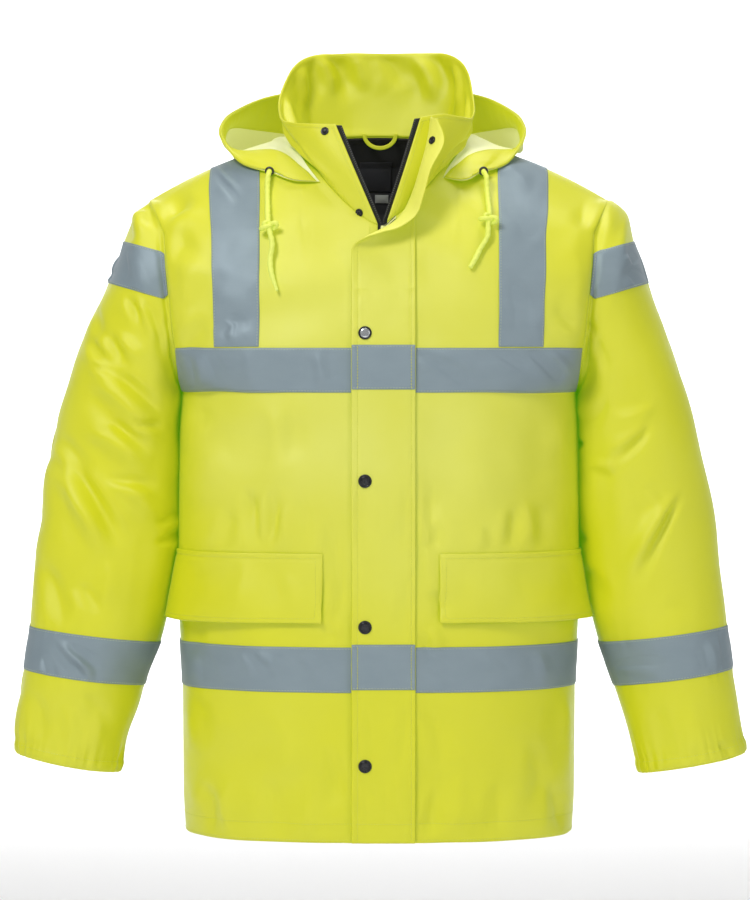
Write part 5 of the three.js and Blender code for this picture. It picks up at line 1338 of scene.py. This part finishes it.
def slab(outline, low, high, rounding, segments=10):
    """A plate: an outline of x and z, carried from one y to another, drawn in at both faces."""
    outline = np.array(outline, float)
    closed = np.concatenate([outline, outline[:1]])
    runs = np.concatenate([[0], np.linalg.norm(np.diff(closed, axis=0), axis=1).cumsum()])
    even = np.linspace(0, runs[-1], 72, endpoint=False)
    loop = np.stack([np.interp(even, runs, closed[:, k]) for k in range(2)], axis=1)
    for _ in range(3):
        loop = (np.roll(loop, 1, axis=0) + 2 * loop + np.roll(loop, -1, axis=0)) / 4
    centre = loop.mean(axis=0)
    reach = np.linalg.norm(loop - centre, axis=1, keepdims=True)
    turn = np.linspace(0, np.pi / 2, segments)
    inset = np.concatenate([[1.0], 1 - np.sin(turn), 1 - np.sin(turn)[::-1], [1.0]]) * rounding
    y = np.concatenate([[low], low + rounding * (1 - np.cos(turn)), high - rounding * (1 - np.cos(turn))[::-1], [high]])
    inset[0] = inset[-1] = rounding * 1.6
    drawn = centre + (loop - centre)[None] * (1 - np.minimum(inset[:, None, None] / reach, 0.9))
    return np.stack([drawn[..., 0], np.broadcast_to(y[:, None], drawn.shape[:2]), drawn[..., 1]], axis=-1)


SLIDER_OUTLINE = [(-4.4, 2.5), (-4.5, -2), (-3.6, -7), (-3.3, -11), (3.3, -11), (3.6, -7), (4.5, -2), (4.4, 2.5), (0, 1.6)]
piece = loft("slider_plate", leaned(slab(SLIDER_OUTLINE, 1.4, 2.8, 0.5)), [BLACK_METAL])
finish_piece(piece, ["zip_slider"])
bridge = centripetal(np.array([(0, 1.9, 0.3), (0, 0.4, 0.4), (0, -1.6, 0.0), (0, -2.2, -1.4), (0, -2.2, -5.6), (0, -1.6, -7.0),
                               (0, 0.4, -7.4), (0, 1.9, -7.3)], float), np.linspace(0, 1, 60))
piece = loft("slider_bridge", leaned(tube(bridge, np.full(60, 0.8), 14)), [BLACK_METAL])
finish_piece(piece)
ARM = [(1.5, -5.9), (15, 7.9), (15.3, 12.6), (14.6, 12.9), (1.5, -1.1)]
piece = loft("pull_arm", leaned(slab(ARM, -2.95, -1.45, 0.55)), [PULL])
finish_piece(piece, ["zip_pull_tab"], TAB_NAME)
eye = turned(np.array([0.0, -2.2, -3.5]), (0, 0, 1), [(1.15, -2.3), (1.6, -2.7), (2.0, -2.2), (2.1, 0), (2.0, 2.2),
                                                      (1.6, 2.7), (1.15, 2.3), (1.1, 0)], 24)


def ring_piece(name, rings, paint):
    """A ring whose profile closes on itself: the last run of points meets the first."""
    count, segments = rings.shape[:2]
    grid = np.swapaxes(rings, 0, 1)
    closed = np.concatenate([grid, grid[:1]])
    faces = quads_of(segments + 1, count, wraps=True) % (segments * count)
    vertices = closed[:-1].reshape(-1, 3)
    a, b, c, d = (vertices[faces[:, k]] for k in range(4))
    if np.sum(np.cross(a, b) * c + np.cross(a, c) * d) < 0:
        faces = faces[:, ::-1]
    return mesh_of(name, vertices, faces, [paint])


finish_piece(ring_piece("pull_eye", leaned(eye), PULL), body=TAB_NAME)
# Two black lines along the tab's long sides.
for index, share in enumerate((0.12, 0.88), 1):
    first = np.array([1.9, -5.0 + 3.6 * share]) + np.array([0.6, 0.6])
    last = np.array([14.6, 7.9 + 4.6 * share])
    line = np.linspace(first, last, 24)
    path = np.stack([line[:, 0], np.full(24, -2.98), line[:, 1]], axis=-1)
    piece = loft(f"pull_line_{index}", leaned(tube(path, round_ends(np.full(24, 0.42), path, 0.5), 8)), [TAB_LINE_BLACK])
    finish_piece(piece, body=TAB_NAME)


# Drawcords through their eyelets, with a knot in each

CORD_RADIUS = 3.0
CORD_ROUTES = {
    "right": [(-125, -56, 14), (-125.5, -68, 8), (-125, -87, 6), (-124, -106, 11), (-122, -118, 12), (-119, -134, 9),
              (-121, -148, 7), (-120, -164, 7), (-113, -186, 6)],
    "left": [(121, -56, 14), (121.5, -68, 8), (122.5, -84, 6), (123.5, -98, 12), (122, -110, 13), (121, -124, 10),
             (113, -138, 7), (107, -150, 7), (101, -160, 6)]}
CORD = cloth_paint("cord_cloth", (0.84, 0.80, 0.10), (0.02, 0.13, 0.01), roughness=0.6, weave=0.0011)


def knot_path(middle, across, along, out, count=240):
    """An overhand knot drawn tight: two turns round while it swings to and fro three times."""
    t = np.linspace(0, 2 * np.pi, count)
    x, y, z = np.sin(t) + 2 * np.sin(2 * t), np.cos(t) - 2 * np.cos(2 * t), -np.sin(3 * t)
    return middle + x[:, None] * across * 3.3 + y[:, None] * along * 1.25 + z[:, None] * out * 3.0


for name, side in (("right", -1), ("left", 1)):
    width = hood_grid.shape[1] - 1
    column = width * (0.5 if side < 0 else 25.5) / 26
    row = (HOOD_ROWS - 1) * 8.1 / 9
    from_row = np.interp(column, np.arange(hood_grid.shape[1]), starts[0])
    facing_row = 29 * (row - from_row) / (HOOD_ROWS - 1 - from_row)
    seat, seat_out = sample(facing_grid, facing_row, column), unit(sample(facing_fresh, facing_row, column))
    tilted = unit(0.4 * seat_out + np.array([0.0, -1.0, 0.0]))
    hole = seat + np.array([0, -3.2, -1.6])
    piece = ring_piece(f"{name}_eyelet_ring", turned(hole, tilted, EYELET_PROFILE), DARK_METAL)
    finish_piece(piece, [f"{name}_eyelet"])
    route = np.array([hole - tilted * 1.5, hole + tilted * 3.4 + [0, 0, -1.2],
                      *[(x, float(body_y(np.array(float(x)), np.array(float(z)), False)) - off, z)
                        for x, z, off in CORD_ROUTES[name]]], float)
    path = centripetal(route, np.linspace(0, 1, 200))
    radii = np.full(200, CORD_RADIUS) * (1 + 0.05 * np.sin(np.linspace(0, 31, 200)))
    if name == "right":
        radii = radii * (1 - 0.35 * ease(np.linspace(0, 1, 200), 0.9, 1.0))
    rings = tube(path, round_ends(radii, path, 2.2), 18, 0.92, 0.42, 0.06)
    cord_piece = loft(f"{name}_drawcord_run", rings, [CORD])
    centre = path[110]
    ahead = unit(path[113] - path[107])
    across = unit(np.cross(ahead, [0.0, 1.0, 0.0]))
    out = np.cross(across, ahead)
    loop = knot_path(centre, across, ahead, out)
    loop = loop[:-1]
    ends = np.concatenate([loop[-2:], loop, loop[:2]])
    knot_rings = tube(ends, np.full(len(ends), 2.7), 16)[2:-2]
    knot_piece = loft(f"{name}_knot_turns", knot_rings, [CORD])
    finish_piece(knot_piece, [f"{name}_cord_knot"])
    finish_piece(cord_piece, [f"{name}_drawcord"])
    [tuple(p * 0.001) for p in path[::10]] + [tuple(path[-1] * 0.001)]


# Inside the neck: quilted lining, labels and hanger loop

middle_column = (len(back.shares) - 1) / 2
centre_z = back.z[:, int(middle_column)]
row_of = lambda z: np.interp(z, centre_z, np.arange(len(centre_z)))
column_of = lambda x: np.interp(np.asarray(x, float) / CHEST_HALF, back.shares, np.arange(len(back.shares)))
rows = np.linspace(row_of(CHEST_TAPE_TOP), len(centre_z) - 1, 120)
columns = np.linspace(back.column(-0.48), back.column(0.48), 70)
patch, normals = back.patch(rows, columns, -3.3)
down = patch[..., 2]
quilt = 2.2 * np.abs(np.sin((down + 10) * np.pi / 27)) ** 0.6 + unevenness(patch[..., 0], down, 1.0, 71)
hold = ease(-down, -6, 14)
patch = patch - normals * (np.maximum(quilt, 0) * hold)[..., None]
fresh = -normals_of(patch, sign=-1)
lining_piece = shell("neck_lining_cloth", patch, fresh, 1.1, [LINING])
finish_piece(lining_piece, ["neck_lining"])
declare(patch)
lining_grid, lining_normals, lining_rows, lining_columns = patch, fresh, rows, columns


def label(name, low, high, bottom, top, paint, node):
    """A woven patch over the lining between two widths and two heights, bowed a little at its middle."""
    rows = np.interp(row_of(np.linspace(bottom, top, 24)), lining_rows, np.arange(120))[:, None]
    columns = np.interp(column_of(np.linspace(low, high, 24)), lining_columns, np.arange(70))[None, :]
    normals = unit(sample(lining_normals, rows, columns))
    share = np.linspace(0, 1, 24)
    bow = 1.2 + 0.8 * np.sin(np.pi * share)[None, :] * np.sin(np.pi * share)[:, None]
    grid = sample(lining_grid, rows, columns) + normals * bow[..., None]
    fresh = normals_of(grid)
    fresh *= np.sign(np.sum(fresh * normals, axis=-1, keepdims=True))
    piece = shell(f"{name}_patch", grid, fresh, 0.6, [paint])
    finish_piece(piece, [node])
    declare(grid)


label("neck_label", -22, 15, -62, -28, LABEL, "neck_label")
label("size_label", -4, 12, -75, -66, SIZE_LABEL, "size_label")
turn = np.linspace(0, np.pi, 60)[:, None]
edge = np.linspace(1.8, -1.8, 7)[None, :]
loop_grid = np.stack([1.5 - (18.5 + edge) * np.cos(turn), 75.7 + 0.5 * np.sin(3 * turn) * np.sin(turn) + 0 * edge,
                      1 - (16.5 + edge) * np.sin(turn)], axis=-1)
loop_normals = np.broadcast_to([0.0, -1.0, 0.0], loop_grid.shape)
piece = shell("hanger_loop_band", loop_grid, loop_normals, 1.2, [YELLOW])
finish_piece(piece, ["hanger_loop"])

finish_piece(yellow_sewing.piece("yellow_stitches", THREAD))
finish_piece(grey_sewing.piece("tape_stitches", GREY_THREAD))
finish_piece(zip_teeth.piece("zip_teeth_row", TOOTH))


# Floor and light

def backdrop():
    """A pale sheet: a floor that curves up behind the garment into a wall."""
    turn = np.linspace(0, np.pi / 2, 24)
    floor_z, wall_y, bend = -1150, 8600, 1200
    y = np.concatenate([[-30000, -3000], wall_y - bend + bend * np.sin(turn), [wall_y]])
    z = np.concatenate([[floor_z, floor_z], floor_z + bend - bend * np.cos(turn), [6000]])
    x = np.linspace(-9000, 9000, 12)
    grid = np.stack(np.broadcast_arrays(x[None, :], y[:, None], z[:, None]), axis=-1)
    paint = Paint("pale_floor", roughness=0.9)
    paint.feed("Base Color", paint.mix(paint.noise(0.6, 2), (0.93, 0.93, 0.93), (0.96, 0.96, 0.96)))
    return mesh_of("backdrop", grid.reshape(-1, 3), quads_of(len(y), 12), [paint.material])


backdrop()


def lamp(name, place, target, size, power, colour=(1, 1, 1)):
    light = bpy.data.lights.new(name, "AREA")
    light.shape, light.size, light.energy, light.color = "DISK", size, power, colour
    made = bpy.data.objects.new(name, light)
    made.location = place
    made.rotation_euler = look(place, target)
    bpy.context.scene.collection.objects.link(made)


lamp("key_light", (-1.5, -2.6, 2.3), (0, 0, -0.35), 1.2, 74)
lamp("fill_light", (2.8, -2.8, 0.8), (0, 0, -0.35), 2.4, 20)
lamp("top_light", (0.4, 0.3, 2.6), (0, 0, -0.2), 1.6, 34)
lamp("low_light", (0, -3.0, -0.95), (0, 0, -0.7), 1.6, 6)
lamp("wall_light", (0, 5.4, 3.2), (0, 8.6, 0.2), 4.0, 430)
world = bpy.data.worlds.new("pale_world")
world.use_nodes = True
world.node_tree.nodes["Background"].inputs["Color"].default_value = (1, 1, 1, 1)
world.node_tree.nodes["Background"].inputs["Strength"].default_value = 0.33
bpy.context.scene.world = world
bpy.context.scene.view_settings.view_transform = "Standard"
